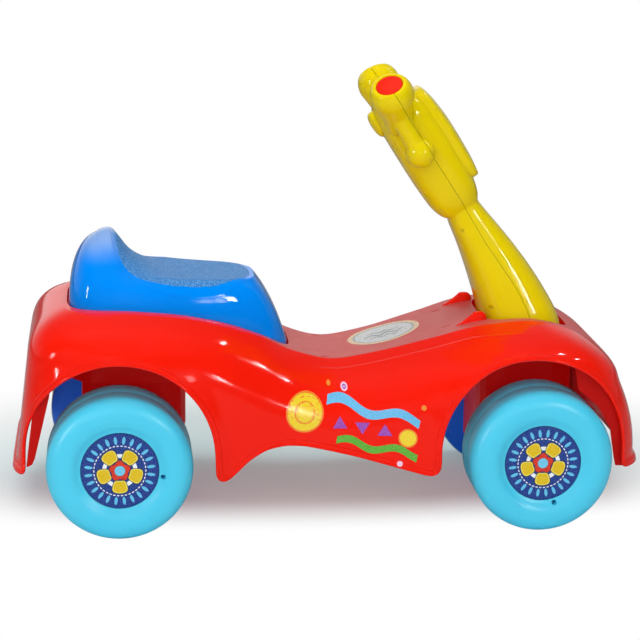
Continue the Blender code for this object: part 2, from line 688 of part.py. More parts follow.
def wheel_profile():
    profile = [(WHEEL_INNER_Y, AXLE_HOLE_R), (WHEEL_INNER_Y, WHEEL_R - INNER_SHOULDER)]
    for i in range(1, 3):
        angle = 0.5 * math.pi * i / 2
        profile.append((WHEEL_INNER_Y + INNER_SHOULDER * (1.0 - math.cos(angle)),
                        WHEEL_R - INNER_SHOULDER * (1.0 - math.sin(angle))))
    for i in range(0, 4):
        angle = 0.5 * math.pi * i / 3
        profile.append((WHEEL_OUTER_Y - OUTER_SHOULDER * (1.0 - math.sin(angle)),
                        WHEEL_R - OUTER_SHOULDER * (1.0 - math.cos(angle))))
    profile += [(0.1550, 0.0530), (0.1525, 0.0450), (HUB_PLANE_Y, CAP_R + 0.0004)]
    profile += [(CAP_SEAT_Y, CAP_R + 0.0004), (CAP_SEAT_Y, NUT_POCKET_R)]
    profile += [(NUT_POCKET_Y, NUT_POCKET_R), (NUT_POCKET_Y, AXLE_HOLE_R)]
    flat_to_flat = 1.0 / math.cos(math.pi / WHEEL_STEPS)
    return [(along, radius * flat_to_flat if radius > 0.05 else radius) for along, radius in profile]


def build_wheel(name, x, side, cyan):
    wheel = turned(name, wheel_profile(), (0.0, 0.0, 0.0), (0, side, 0), WHEEL_STEPS, True)
    wheel.location = (x, 0.0, AXLE_Z)
    return finish(wheel, cyan, 30.0)


def build_wheel_cap(name, x, side, navy):
    profile = ((0.1410, NUT_POCKET_R - 0.0005), (CAP_SEAT_Y + FIT_GAP, NUT_POCKET_R - 0.0005),
               (CAP_SEAT_Y + FIT_GAP, CAP_R), (HUB_PLANE_Y, CAP_R))
    cap = turned(name, profile, (0.0, 0.0, 0.0), (0, side, 0), WHEEL_STEPS)
    cap.location = (x, 0.0, AXLE_Z)
    return finish(cap, navy)


def build_push_nut(name, x, side, steel):
    profile = ((0.1303, AXLE_HOLE_R), (0.1303, 0.0090), (0.1318, 0.0090), (0.1328, 0.0060), (0.1328, AXLE_HOLE_R))
    return finish(turned(name, profile, (x, 0.0, AXLE_Z), (0, side, 0), 10, True), steel)


def build_washer(name, x, side, steel):
    profile = ((0.0775, AXLE_HOLE_R), (0.0775, 0.0100), (0.0797, 0.0100), (0.0797, AXLE_HOLE_R))
    return finish(turned(name, profile, (x, 0.0, AXLE_Z), (0, side, 0), 10, True), steel)


# Column and head, both moulded in two halves. Head points: up the head, towards the front, across.
def head_point(up, front, across):
    lean = (-math.sin(HEAD_LEAN), math.cos(HEAD_LEAN))
    x = station(HEAD_NECK[0] + up * lean[0] + front * lean[1])
    return (x, across, HEAD_NECK[1] + up * lean[1] - front * lean[0])


def head_direction(up, front, across):
    origin = Vector(head_point(0.0, 0.0, 0.0))
    return (Vector(head_point(up, front, across)) - origin).normalized()


def head_form(name, inset, slices):
    rings = []
    if inset > 0.0:
        slices = slices[1::2]
    for up, rear, front, half in slices:
        height = up + inset if up < 0.02 else up - inset * min(1.0, up / 0.15)
        middle = 0.5 * (rear + front)
        reach = 0.5 * (front - rear) - inset
        ring = []
        for s, w in plan_directions(6, 2, 2.9):
            ring.append(head_point(height, middle + reach * s, w * (half - inset)))
        rings.append(ring)
    return ring_solid(name, rings, True, True)


def column_form(name, inset):
    rings = []
    slices = COLUMN_SLICES
    if inset > 0.0:
        foot = COLUMN_SLICES[0]
        slices = ((foot[0] - 0.020,) + foot[1:],) + COLUMN_SLICES[::2] + COLUMN_SLICES[-1:]
    for z, rear, front, half in slices:
        middle = 0.5 * (rear + front)
        reach = 0.5 * (front - rear) - inset
        plan = plan_directions(6, 2, 2.9)
        rings.append([(station(middle + reach * s), w * (half - inset), z) for s, w in plan])
    return ring_solid(name, rings, True, True)


def horn_centre(side):
    return head_point(HORN_CENTRE[0], HORN_CENTRE[1], side * HORN_CENTRE[2])


def horn_aim(side):
    return head_direction(HORN_AIM[0], HORN_AIM[1], side * HORN_AIM[2])


def horn_form(name, side, inset):
    profile = [(HORN_ROOT + 2.0 * inset, 0.0150 - inset), (-0.0320, HORN_WAIST_R - inset)]
    profile.append((-0.0180, 0.0190 - inset))
    end = HORN_END - BUTTON_POCKET_DEPTH - GUIDE_WALL if inset else HORN_END
    steps = 2 if inset else 4
    for i in range(steps + 1):
        along = mix(-0.0080, end, i / steps)
        profile.append((along, math.sqrt((HORN_BULB_R - inset) ** 2 - along * along)))
    return turned(name, profile, horn_centre(side), horn_aim(side), 12 if inset else 16)


def knob_form(name, side):
    centre = Vector(head_point(KNOB_CENTRE[0], KNOB_CENTRE[1], side * KNOB_CENTRE[2]))
    radius = KNOB_R
    profile = []
    for i in range(7):
        angle = math.pi * (0.06 + 0.88 * i / 6)
        profile.append((-radius * math.cos(angle), radius * math.sin(angle)))
    return turned(name, profile, centre, head_direction(0.05, 0.02, side), 12)


def ridge_form(name, side):
    low = Vector(head_point(KNOB_CENTRE[0], KNOB_CENTRE[1], side * KNOB_CENTRE[2]))
    top = Vector(head_point(0.1500, -0.0060, side * 0.0460))
    length = (top - low).length
    profile = ((0.0030, 0.0108), (0.5 * length, 0.0100), (length, 0.0112))
    return turned(name, profile, low, top - low, 10)


def yellow_form(name, inset):
    form = column_form(name, inset)
    join(form, head_form("head_form", inset, HEAD_SLICES))
    for side in (-1.0, 1.0):
        join(form, horn_form("horn_form", side, inset))
        if inset == 0.0:
            join(form, knob_form("knob_form", side))
            join(form, ridge_form("ridge_form", side))
    return form


# The parting line runs up the column and on through the middle of the head
def parting_line(shift):
    line = []
    for up in (0.2200, 0.0187):
        point = head_point(up, 0.0, 0.0)
        line.append((point[0] + shift, point[2]))
    for x, z in COLUMN_PARTING:
        line.append((station(x) + shift, z))
    return line


def horn_button_point(front):
    return head_point(HORN_BUTTON_A, front, 0.0)


def build_yellow_halves(yellow):
    outer = yellow_form("yellow_outer", 0.0)
    inner = yellow_form("yellow_inner", YELLOW_WALL)
    ring = ((0.0, 0.0172), (0.030, 0.0172))
    cut(inner, turned("ring_form", ring, horn_button_point(-0.0188), head_direction(0, -1, 0), 16))
    cut(outer, inner)
    bore = ((0.0, HORN_BUTTON_R + FIT_GAP), (0.040, HORN_BUTTON_R + FIT_GAP))
    cut(outer, turned("bore_form", bore, horn_button_point(-0.0150), head_direction(0, -1, 0), 16))
    room = ((0.0, 0.0176), (0.0069, 0.0176))
    cut(outer, turned("room_form", room, horn_button_point(-0.0118), head_direction(0, -1, 0), 16))
    for side in (-1.0, 1.0):
        pocket = ((HORN_END - BUTTON_POCKET_DEPTH, BUTTON_R + FIT_GAP), (HORN_END + 0.01, BUTTON_R + FIT_GAP))
        cut(outer, turned("pocket_form", pocket, horn_centre(side), horn_aim(side), 16))
        cut(outer, turned("stem_form", ((0.0, STEM_R + FIT_GAP), (0.012, STEM_R + FIT_GAP)),
                          horn_centre(side), horn_aim(side), 12))
    rear = outer.copy()
    rear.data = outer.data.copy()
    bpy.context.scene.collection.objects.link(rear)
    behind = parting_line(-0.5 * FIT_GAP) + [(station(0.20), 0.160), (station(0.10), 0.550)]
    ahead = parting_line(0.5 * FIT_GAP) + [(station(0.65), 0.160), (station(0.65), 0.550)]
    keep_common(rear, side_prism("behind_form", behind, -0.15, 0.15))
    keep_common(outer, side_prism("ahead_form", ahead, -0.15, 0.15))
    rear.name = "column_rear_half"
    outer.name = "column_front_half"
    finish(rear, yellow, 38.0)
    finish(outer, yellow, 38.0)


# Rounded face plate on the front of the head
def build_face_plate(yellow):
    plate_slices = [(up, rear, front + PLATE_PROUD, half + 0.0030) for up, rear, front, half in HEAD_SLICES]
    plate = head_form("face_plate", 0.0, plate_slices)
    middle = 0.5 * (PLATE_LOW + PLATE_HIGH)
    reach = 0.5 * (PLATE_HIGH - PLATE_LOW)
    near = []
    far = []
    for s, w in plan_directions(8, 4, 4.0):
        across = PLATE_HALF * w * (1.0 + 0.10 * s)
        near.append(head_point(middle + reach * s, 0.0080, across))
        far.append(head_point(middle + reach * s, 0.0600, across))
    keep_common(plate, ring_solid("outline_form", [near, far]))
    cut(plate, head_form("back_form", -FIT_GAP, HEAD_SLICES))
    return finish(plate, yellow)


# Red push buttons in the horn ends, each with a headed stem through the guide wall
def build_end_button(name, side, red):
    rest = HORN_END - BUTTON_POCKET_DEPTH + BUTTON_TRAVEL + FIT_GAP
    hook = HORN_END - BUTTON_POCKET_DEPTH - GUIDE_WALL - FIT_GAP
    profile = ((hook - 0.0020, 0.0060), (hook, 0.0060), (hook, STEM_R), (rest, STEM_R), (rest, BUTTON_R),
               (rest + BUTTON_THICK, BUTTON_R), (rest + BUTTON_THICK + 0.0010, BUTTON_R - 0.0020),
               (rest + BUTTON_THICK + BUTTON_DOME, BUTTON_R - 0.0060))
    button = turned(name, profile, (0, 0, 0), horn_aim(side), 16)
    button.location = horn_centre(side)
    return finish(button, red)


def build_horn_button(yellow):
    profile = ((0.0, 0.0168), (0.0015, 0.0168), (0.0015, HORN_BUTTON_R), (0.0130, HORN_BUTTON_R),
               (0.0158, 0.0138), (0.0175, 0.0110), (0.0186, 0.0060))
    button = turned("horn_button", profile, (0, 0, 0), head_direction(0, -1, 0), 16)
    button.location = horn_button_point(-0.0170)
    return finish(button, yellow)


clear_scene()
body_red = make_material("body_red", 0.90, 0.06, 0.03, 0.30)
seat_blue = make_material("seat_blue", 0.01, 0.26, 0.75, 0.28)
wheel_cyan = make_material("wheel_cyan", 0.08, 0.60, 0.86, 0.35)
column_yellow = make_material("column_yellow", 0.74, 0.60, 0.01, 0.32)
button_red = make_material("button_red", 0.82, 0.04, 0.01, 0.30)
cap_navy = make_material("cap_navy", 0.02, 0.06, 0.30, 0.30)
axle_steel = make_material("axle_steel", 0.55, 0.55, 0.56, 0.35, 1.0)

build_body_shell(body_red)
build_storage_bin(body_red)
build_front_housing(body_red)
build_seat(seat_blue)
build_hinge_pins(axle_steel)
build_yellow_halves(column_yellow)
build_face_plate(column_yellow)
build_end_button("end_button_near", -1.0, button_red)
build_end_button("end_button_far", 1.0, button_red)
build_horn_button(column_yellow)
for end, axle_x in (("rear", REAR_AXLE_X), ("front", FRONT_AXLE_X)):
    build_axle(end + "_axle", axle_x, axle_steel)
    for hand, side in (("near", -1.0), ("far", 1.0)):
        build_wheel("wheel_" + end + "_" + hand, axle_x, side, wheel_cyan)
        build_wheel_cap("wheel_cap_" + end + "_" + hand, axle_x, side, cap_navy)
        build_push_nut("push_nut_" + end + "_" + hand, axle_x, side, axle_steel)
        build_washer("washer_" + end + "_" + hand, axle_x, side, axle_steel)
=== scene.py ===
# Toddler's ride-on car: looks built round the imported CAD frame, for one studio picture
import bpy
import bmesh
import math
from functools import partial
from mathutils import Matrix, Vector
from mathutils.bvhtree import BVHTree
from mathutils.kdtree import KDTree


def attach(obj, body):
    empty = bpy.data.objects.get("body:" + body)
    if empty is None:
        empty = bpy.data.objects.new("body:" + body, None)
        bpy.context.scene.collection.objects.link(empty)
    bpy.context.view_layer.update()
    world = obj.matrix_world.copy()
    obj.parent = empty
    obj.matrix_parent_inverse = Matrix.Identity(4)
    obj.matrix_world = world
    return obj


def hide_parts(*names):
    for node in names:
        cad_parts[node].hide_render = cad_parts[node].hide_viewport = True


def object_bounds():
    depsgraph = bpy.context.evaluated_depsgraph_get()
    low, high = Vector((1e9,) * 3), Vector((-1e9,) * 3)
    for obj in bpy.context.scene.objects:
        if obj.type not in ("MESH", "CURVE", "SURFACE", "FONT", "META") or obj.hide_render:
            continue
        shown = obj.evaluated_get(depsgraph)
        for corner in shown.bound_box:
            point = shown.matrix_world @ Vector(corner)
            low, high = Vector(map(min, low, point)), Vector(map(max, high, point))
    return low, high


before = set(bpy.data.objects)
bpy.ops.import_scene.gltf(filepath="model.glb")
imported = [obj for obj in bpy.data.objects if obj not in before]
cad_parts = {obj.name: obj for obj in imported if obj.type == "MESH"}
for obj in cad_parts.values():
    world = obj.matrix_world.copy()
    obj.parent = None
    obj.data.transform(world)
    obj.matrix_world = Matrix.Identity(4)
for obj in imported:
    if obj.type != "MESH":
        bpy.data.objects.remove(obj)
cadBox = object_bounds()
print("stage: frame loaded")

# Places shared by several pieces, metres, stations counted forward from the rear axle
place = {
    "rearAxleX": -0.21975,
    "wheelbase": 0.436,
    "axleZ": 0.075,
    "neck": (0.3750, 0.3126),
    "lean": math.radians(34.0),
}

hands = (("near", -1.0), ("far", 1.0))
smooth = {"interpolation_type": 'SMOOTHSTEP'}
colours = {"data_type": 'RGBA'}


def station(distance):
    return place["rearAxleX"] + distance


def mix(a, b, t):
    return a + (b - a) * t


def smoothStep(low, high, x):
    t = min(1.0, max(0.0, (x - low) / (high - low)))
    return t * t * (3.0 - 2.0 * t)


# A smooth curve through a few points, with a slope that never overshoots
def smoothLine(points, x):
    if x <= points[0][0]:
        return points[0][1]
    if x >= points[-1][0]:
        return points[-1][1]
    slopes = []
    for k in range(len(points) - 1):
        slopes.append((points[k + 1][1] - points[k][1]) / (points[k + 1][0] - points[k][0]))
    tangents = [slopes[0]]
    for k in range(1, len(slopes)):
        if slopes[k - 1] * slopes[k] <= 0.0:
            tangents.append(0.0)
        else:
            tangents.append(2.0 * slopes[k - 1] * slopes[k] / (slopes[k - 1] + slopes[k]))
    tangents.append(slopes[-1])
    k = 0
    while x > points[k + 1][0]:
        k += 1
    span = points[k + 1][0] - points[k][0]
    t = (x - points[k][0]) / span
    low = points[k][1] * (2 * t ** 3 - 3 * t ** 2 + 1) + tangents[k] * span * (t ** 3 - 2 * t ** 2 + t)
    high = points[k + 1][1] * (3 * t ** 2 - 2 * t ** 3) + tangents[k + 1] * span * (t ** 3 - t ** 2)
    return low + high


# The same curve averaged over a short stretch, so gloss runs over it without a kink
def softLine(points, x, reach=0.010):
    total = 0.0
    weights = 0.0
    for k in range(-3, 4):
        weight = 4.0 - abs(k)
        at = min(points[-1][0], max(points[0][0], x + reach * k / 3.0))
        total += weight * smoothLine(points, at)
        weights += weight
    return total / weights


# Cosines and sines of even steps round a circle
def circle(count, shift=0.0):
    angles = [2.0 * math.pi * (i + shift) / count for i in range(count)]
    return [(math.cos(a), math.sin(a)) for a in angles]


# One minus the cosine, and the sine, of steps over a quarter of a circle, for a rounded edge
def quarter(count, first=1):
    angles = [0.5 * math.pi * i / count for i in range(first, count + 1)]
    return [(1.0 - math.cos(a), math.sin(a)) for a in angles]


# Mesh helpers
def newPiece(name, vertices, faces):
    mesh = bpy.data.meshes.new(name)
    mesh.from_pydata([tuple(v) for v in vertices], [], faces)
    mesh.update()
    piece = bpy.data.objects.new(name, mesh)
    bpy.context.scene.collection.objects.link(piece)
    work = bmesh.new()
    work.from_mesh(mesh)
    bmesh.ops.remove_doubles(work, verts=work.verts, dist=1e-6)
    bmesh.ops.recalc_face_normals(work, faces=work.faces)
    work.to_mesh(mesh)
    work.free()
    return piece


# Joins rings of points with faces. Its ends are closed by one face or by a ladder of faces, and a bored
# piece runs back into its first ring.
def ringPiece(name, rings, ladder=False, bored=False, ladderFloor=False):
    count = len(rings[0])
    vertices = [point for ring in rings for point in ring]
    faces = []
    joins = len(rings) if bored else len(rings) - 1
    for level in range(joins):
        base = level * count
        above = ((level + 1) % len(rings)) * count
        for i in range(count):
            j = (i + 1) % count
            faces.append((base + i, base + j, above + j, above + i))
    if not bored:
        capLoop(faces, 0, count, ladderFloor)
        capLoop(faces, (len(rings) - 1) * count, count, ladder)
    return newPiece(name, vertices, faces)


def capLoop(faces, base, count, ladder):
    if not ladder:
        faces.append(tuple(base + i for i in range(count)))
        return
    half = count // 2
    faces.append((base, base + 1, base + count - 1))
    for i in range(1, half - 1):
        faces.append((base + i, base + i + 1, base + count - i - 1, base + count - i))
    faces.append((base + half - 1, base + half, base + half + 1))


def turnedPiece(name, profile, centre, axis, steps, bored=False):
    axis = Vector(axis).normalized()
    across = Vector((0.0, 0.0, 1.0)) - axis * axis.z
    if across.length < 0.1:
        across = Vector((1.0, 0.0, 0.0)) - axis * axis.x
    across.normalize()
    up = axis.cross(across)
    rings = []
    for along, radius in profile:
        offsets = [across * (c * radius) + up * (s * radius) for c, s in circle(steps, 0.5)]
        rings.append([Vector(centre) + axis * along + offset for offset in offsets])
    return ringPiece(name, rings, bored=bored)


def sidePrism(name, outline, yLow, yHigh):
    near = [(x, yLow, z) for x, z in outline]
    far = [(x, yHigh, z) for x, z in outline]
    return ringPiece(name, [near, far])


def planPrism(name, points, low, high):
    rings = [[(x, y, low(x)) for x, y in points], [(x, y, high(x)) for x, y in points]]
    return ringPiece(name, rings, True, ladderFloor=True)


# Joins mirrored half sections from end to end, with flat faces across their feet
def sectionPiece(name, halves):
    sections = [half + [Vector((p.x, -p.y, p.z)) for p in reversed(half)] for half in halves]
    rows = len(sections[0])
    faces = []
    for k in range(len(sections) - 1):
        for i in range(rows - 1):
            a = k * rows + i
            faces.append((a, a + 1, a + rows + 1, a + rows))
        faces.append((k * rows, (k + 1) * rows, (k + 2) * rows - 1, (k + 1) * rows - 1))
    return newPiece(name, [p for section in sections for p in section], faces)


# Evens out a column of points, with its first and last ones kept
def relax(column, first, last, rounds):
    for _ in range(rounds):
        kept = [p.copy() for p in column]
        for k in range(first, len(column) - last):
            column[k] = 0.5 * kept[k] + 0.25 * (kept[k - 1] + kept[k + 1])


def makeActive(piece):
    for other in bpy.context.selected_objects:
        other.select_set(False)
    piece.select_set(True)
    bpy.context.view_layer.objects.active = piece


def applyAll(piece):
    makeActive(piece)
    for modifier in list(piece.modifiers):
        bpy.ops.object.modifier_apply(modifier=modifier.name)


# Volume and the two corners of the box
def measure(piece):
    work = bmesh.new()
    work.from_mesh(piece.data)
    volume = work.calc_volume()
    places = [v.co for v in work.verts]
    low = [min((p[i] for p in places), default=9.0) for i in range(3)]
    high = [max((p[i] for p in places), default=-9.0) for i in range(3)]
    work.free()
    return volume, low, high


# The result is measured, and the step is done again with the next solver if it can't be right
def combine(piece, tool, operation, least=0.0, most=1.001):
    spare = piece.data.copy()
    volume, low, high = measure(piece)
    for solver in ('EXACT', 'MANIFOLD', 'FLOAT'):
        modifier = piece.modifiers.new("combine", 'BOOLEAN')
        modifier.solver = solver
        modifier.operation = operation
        modifier.object = tool
        modifier.material_mode = 'INDEX'
        applyAll(piece)
        newVolume, newLow, newHigh = measure(piece)
        if operation == 'UNION':
            sound = newVolume > 0.999 * volume
        else:
            sound = least * volume < newVolume <= most * volume and \
                all(newLow[i] > low[i] - 0.0001 and newHigh[i] < high[i] + 0.0001 for i in range(3))
        if sound:
            break
        print("stage: cut done again on", piece.name, solver)
        piece.data = spare.copy()
    bpy.data.objects.remove(tool, do_unlink=True)
    return piece


def cut(piece, tool):
    return combine(piece, tool, 'DIFFERENCE')


def join(piece, tool):
    return combine(piece, tool, 'UNION')


def keepCommon(piece, tool, least=0.0, most=1.001):
    return combine(piece, tool, 'INTERSECT', least, most)


def shadeByAngle(piece, degrees):
    piece.data.shade_smooth()
    piece.data.set_sharp_from_angle(angle=math.radians(degrees))
    return piece


def dress(piece, material, degrees):
    piece.data.materials.clear()
    piece.data.materials.append(material)
    return shadeByAngle(piece, degrees)


def addAttribute(piece, name, values, kind='FLOAT'):
    attribute = piece.data.attributes.new(name, kind, 'POINT')
    if kind == 'FLOAT':
        attribute.data.foreach_set("value", values)
    else:
        attribute.data.foreach_set("vector", [c for v in values for c in v])


def skinTree(piece):
    return BVHTree.FromPolygons([v.co.copy() for v in piece.data.vertices],
                                [tuple(p.vertices) for p in piece.data.polygons])


def pointTree(points):
    tree = KDTree(len(points))
    for i, point in enumerate(points):
        tree.insert(point, i)
    tree.balance()
    return tree


# Points of a rounded rectangle of half sizes one, from nose to tail and back on the other side
def planDirections(sideSteps, endSteps, power, halfOnly=False):
    angles = [math.atan2(i / endSteps, 1.0) for i in range(endSteps)]
    for i in range(sideSteps + 1):
        angles.append(math.atan2(1.0, math.sin(0.5 * math.pi * (1.0 - 2.0 * i / sideSteps))))
    angles += [math.atan2(i / endSteps, -1.0) for i in reversed(range(endSteps))]
    half = []
    for a in angles:
        reach = (abs(math.cos(a)) ** power + abs(math.sin(a)) ** power) ** (1.0 / power)
        half.append((math.cos(a) / reach, math.sin(a) / reach))
    half[0] = (1.0, 0.0)
    half[-1] = (-1.0, 0.0)
    if halfOnly:
        return half
    return half + [(s, -w) for s, w in reversed(half[1:-1])]


def alongBody(tail, nose, s):
    return mix(tail, nose, 0.5 * (s + 1.0))


# Fitted to the photo, angles in radians and focal length in pixels
view = {
    "position": (-0.22704, -2.15682, 0.70107),
    "yaw": 0.103867,
    "elevation": 0.229273,
    "roll": -0.012679,
    "focal": 2059.40,
    "pixels": 640.0,
    "sensor": 36.0,
}


def buildCamera():
    data = bpy.data.cameras.new("camera")
    data.sensor_width = view["sensor"]
    data.lens = view["sensor"] * view["focal"] / view["pixels"]
    camera = bpy.data.objects.new("camera", data)
    bpy.context.scene.collection.objects.link(camera)
    yaw = view["yaw"]
    tilt = view["elevation"]
    roll = view["roll"]
    ahead = Vector((math.sin(yaw) * math.cos(tilt), math.cos(yaw) * math.cos(tilt), -math.sin(tilt)))
    right = Vector((math.cos(yaw), -math.sin(yaw), 0.0))
    down = ahead.cross(right)
    turnedRight = math.cos(roll) * right + math.sin(roll) * down
    turnedDown = -math.sin(roll) * right + math.cos(roll) * down
    at = view["position"]
    camera.matrix_world = Matrix(((turnedRight.x, -turnedDown.x, -ahead.x, at[0]),
                                  (turnedRight.y, -turnedDown.y, -ahead.y, at[1]),
                                  (turnedRight.z, -turnedDown.z, -ahead.z, at[2]),
                                  (0.0, 0.0, 0.0, 1.0)))
    bpy.context.scene.camera = camera


# Colours are written as sRGB hex and given to the nodes as linear values
def linear(text):
    values = []
    for k in (1, 3, 5):
        c = int(text[k:k + 2], 16) / 255.0
        values.append(c / 12.92 if c <= 0.04045 else ((c + 0.055) / 1.055) ** 2.4)
    return (values[0], values[1], values[2], 1.0)


def feed(node, inputs):
    for key, value in inputs.items():
        if isinstance(value, bpy.types.NodeSocket):
            node.id_data.links.new(value, node.inputs[key])
        else:
            node.inputs[key].default_value = value


# Adds one node with its settings, values and links, and gives back one of its outputs
def addNode(tree, kind, inputs=(), output=0, **settings):
    node = tree.nodes.new("ShaderNode" + kind)
    for key, value in settings.items():
        setattr(node, key, value)
    feed(node, inputs if isinstance(inputs, dict) else dict(enumerate(inputs)))
    return node.outputs[output]


# A material with its shader, a short way to add nodes and the Object coordinates
def newMaterial(name):
    material = bpy.data.materials.new(name)
    material.use_nodes = True
    add = partial(addNode, material.node_tree)
    return material, material.node_tree.nodes["Principled BSDF"], add, add("TexCoord", output="Object")


# Moulded plastic: even colour with faint flow marks, a slight orange-peel skin and uneven gloss
def mouldedPlastic(name, colour, deep, gloss, peel=0.00002, scatter=0.0, shine=0.24):
    material, shader, add, at = newMaterial(name)
    flow = add("TexNoise", {"Vector": at, "Scale": 9.0, "Detail": 3.0, "Roughness": 0.55})
    share = add("MapRange", (flow, 0.35, 0.70, 0.0, 0.35), **smooth)
    tint = add("Mix", {0: share, 6: linear(colour), 7: linear(deep)}, 2, **colours)
    wear = add("TexNoise", {"Vector": at, "Scale": 60.0, "Detail": 3.0})
    rough = add("MapRange", (wear, 0.3, 0.7, gloss - 0.02, gloss + 0.03), **smooth)
    peelMarks = add("TexNoise", {"Vector": at, "Scale": 420.0})
    skin = add("Bump", {"Height": peelMarks, "Distance": peel, "Strength": 1.0})
    feed(shader, {"Base Color": tint, "Roughness": rough, "Normal": skin, "IOR": 1.5,
                  "Specular IOR Level": shine})
    if scatter:
        feed(shader, {"Subsurface Weight": scatter, "Subsurface Radius": (0.004, 0.003, 0.002),
                      "Subsurface Scale": 1.0})
    return material, shader, add, at, tint, rough, skin


# Glossy red shell with a satin deck paled by painted sheen, a hem along the lower edge and a belt line
def bodyMaterial():
    name = "moulded_polypropylene_red"
    material, shader, add, at, tint, rough, skin = mouldedPlastic(name, "#f51c0a", "#ed1707", 0.09)
    inside = add("Attribute", output="Fac", attribute_name="deck")
    deck = add("MapRange", (inside, -0.0003, 0.0003), **smooth)
    grain = add("TexNoise", {"Vector": at, "Scale": 1500.0, "Roughness": 0.6})
    speck = add("MapRange", (grain, 0.35, 0.65), **smooth)
    # the deck's pale pink is painted sheen laid over its grain specks
    deckSpecksAndSheen = add("Mix", {0: speck, 6: linear("#cb4c49"), 7: linear("#d85c57")}, 2, **colours)
    both = add("Mix", {0: deck, 6: tint, 7: deckSpecksAndSheen}, 2, **colours)
    satin = add("Math", (deck, 0.28, rough), operation='MULTIPLY_ADD')
    edge = add("Attribute", output="Fac", attribute_name="edge")
    hem = add("MapRange", (edge, 0.0042, 0.0052, 1.0, 0.0), **smooth)
    belt = add("Math", (add("Attribute", output="Fac", attribute_name="belt"),), operation='ABSOLUTE')
    line = add("MapRange", (belt, 0.0, 0.0010, 1.0, 0.0), **smooth)
    fade = add("Attribute", output="Fac", attribute_name="beltFade")
    groove = add("Math", (line, fade), operation='MULTIPLY')
    grained = add("Math", (grain, deck), operation='MULTIPLY')
    for height, depth in ((hem, 0.0005), (groove, 0.0005), (grained, 0.00012)):
        skin = add("Bump", {"Height": height, "Distance": depth, "Strength": 1.0, "Normal": skin})
    feed(shader, {"Base Color": both, "Roughness": satin, "Normal": skin})
    return material


# Inside of the shell: a darker copy of the red as painted shade, with an emission glow as painted light
def innerMaterial():
    name = "moulded_polypropylene_red_inner"
    material, shader = mouldedPlastic(name, "#ac0c07", "#a00a05", 0.34, shine=0.1)[:2]
    # painted glow: emission lifts the shaded inside
    feed(shader, {"Emission Color": linear("#f00a05"), "Emission Strength": 0.15})
    return material


# Glossy blue with a spark-eroded panel: grain specks paled by painted sheen, a low step and a fine ridge
# round it
def seatMaterial():
    name = "moulded_polypropylene_blue"
    material, shader, add, at, tint, rough, skin = mouldedPlastic(name, "#008cf8", "#0083f0", 0.05)
    away = add("Attribute", output="Fac", attribute_name="panel")
    inside = add("MapRange", (away, -0.0003, 0.0003), **smooth)
    grain = add("TexNoise", {"Vector": at, "Scale": 760.0, "Detail": 2.5, "Roughness": 0.65})
    speck = add("MapRange", (grain, 0.40, 0.64), **smooth)
    # the panel's paleness is painted sheen laid over its grain specks
    pale = add("Mix", {0: speck, 6: linear("#1c70ba"), 7: linear("#66a4dc")}, 2, **colours)
    # painted sheen: paler blue on the up-facing top of the seat back, standing in for a reflection from above
    high = add("MapRange", (add("SeparateXYZ", (at,), 2), 0.266, 0.292, 0.0, 0.55), **smooth)
    upward = add("SeparateXYZ", (add("TexCoord", output="Normal"),), 2)
    crown = add("Math", (high, add("MapRange", (upward, 0.35, 0.95), **smooth)), operation='MULTIPLY')
    sheenedTop = add("Mix", {0: crown, 6: tint, 7: linear("#b4c6da")}, 2, **colours)
    colour = add("Mix", {0: inside, 6: sheenedTop, 7: pale}, 2, **colours)
    step = add("MapRange", (away, -0.0010, 0.0006), **smooth)
    fromRidge = add("Math", (add("Math", (away, 0.0055), operation='ADD'),), operation='ABSOLUTE')
    ridge = add("MapRange", (fromRidge, 0.0, 0.0012, 1.0, 0.0), **smooth)
    grained = add("Math", (grain, inside), operation='MULTIPLY')
    for height, depth in ((step, 0.0004), (ridge, 0.00025), (grained, 0.00020)):
        skin = add("Bump", {"Height": height, "Distance": depth, "Strength": 1.0, "Normal": skin})
    rougher = add("Math", (inside, 0.42, rough), operation='MULTIPLY_ADD')
    feed(shader, {"Base Color": colour, "Roughness": rougher, "Normal": skin})
    return material


# Waxy cyan, with deeper blue inner faces that carry a painted glow
def wheelMaterial():
    name = "blow_moulded_polyethylene_cyan"
    material, shader, add, at, tint = mouldedPlastic(name, "#4bd1f1", "#43caed", 0.34, 0.00003, 0.12, 0.5)[:5]
    inner = add("MapRange", (add("Attribute", output="Fac", attribute_name="inner"), 0.35, 0.65), **smooth)
    colour = add("Mix", {0: inner, 6: tint, 7: linear("#1072f8")}, 2, **colours)
    # painted glow: emission lifts the inner faces, which sit in shade
    glow = add("Math", (inner, 0.13), operation='MULTIPLY')
    feed(shader, {"Base Color": colour, "Emission Color": colour, "Emission Strength": glow})
    return material


# Glossy yellow, with a screw mark and a locating dimple on each side of the column, each dented and darkened
# with painted shade
def columnMaterial():
    name = "moulded_polypropylene_yellow"
    plastic = mouldedPlastic(name, "#e8d008", "#e0c706", 0.08, scatter=0.10)
    material, shader, add, at, tint, rough, skin = plastic
    level = add("VectorMath", (at, (1.0, 0.0, 1.0)), operation='MULTIPLY')
    marks = 0.0
    for x, z, r in columnShape["marks"]:
        away = add("VectorMath", (level, (station(x), 0.0, z)), "Value", operation='DISTANCE')
        mark = add("MapRange", (away, 0.5 * r, r, 1.0, 0.0), **smooth)
        marks = add("Math", (marks, mark), operation='ADD')
    # painted shade: the dents are darkened in colour
    dimpleShade = add("Math", (marks, 0.45), operation='MULTIPLY')
    feed(shader, {"Base Color": add("Mix", {0: dimpleShade, 6: tint, 7: linear("#a08408")}, 2, **colours),
                  "Normal": add("Bump", {"Height": marks, "Distance": -0.0006, "Strength": 1.0,
                                         "Normal": skin})})
    return material


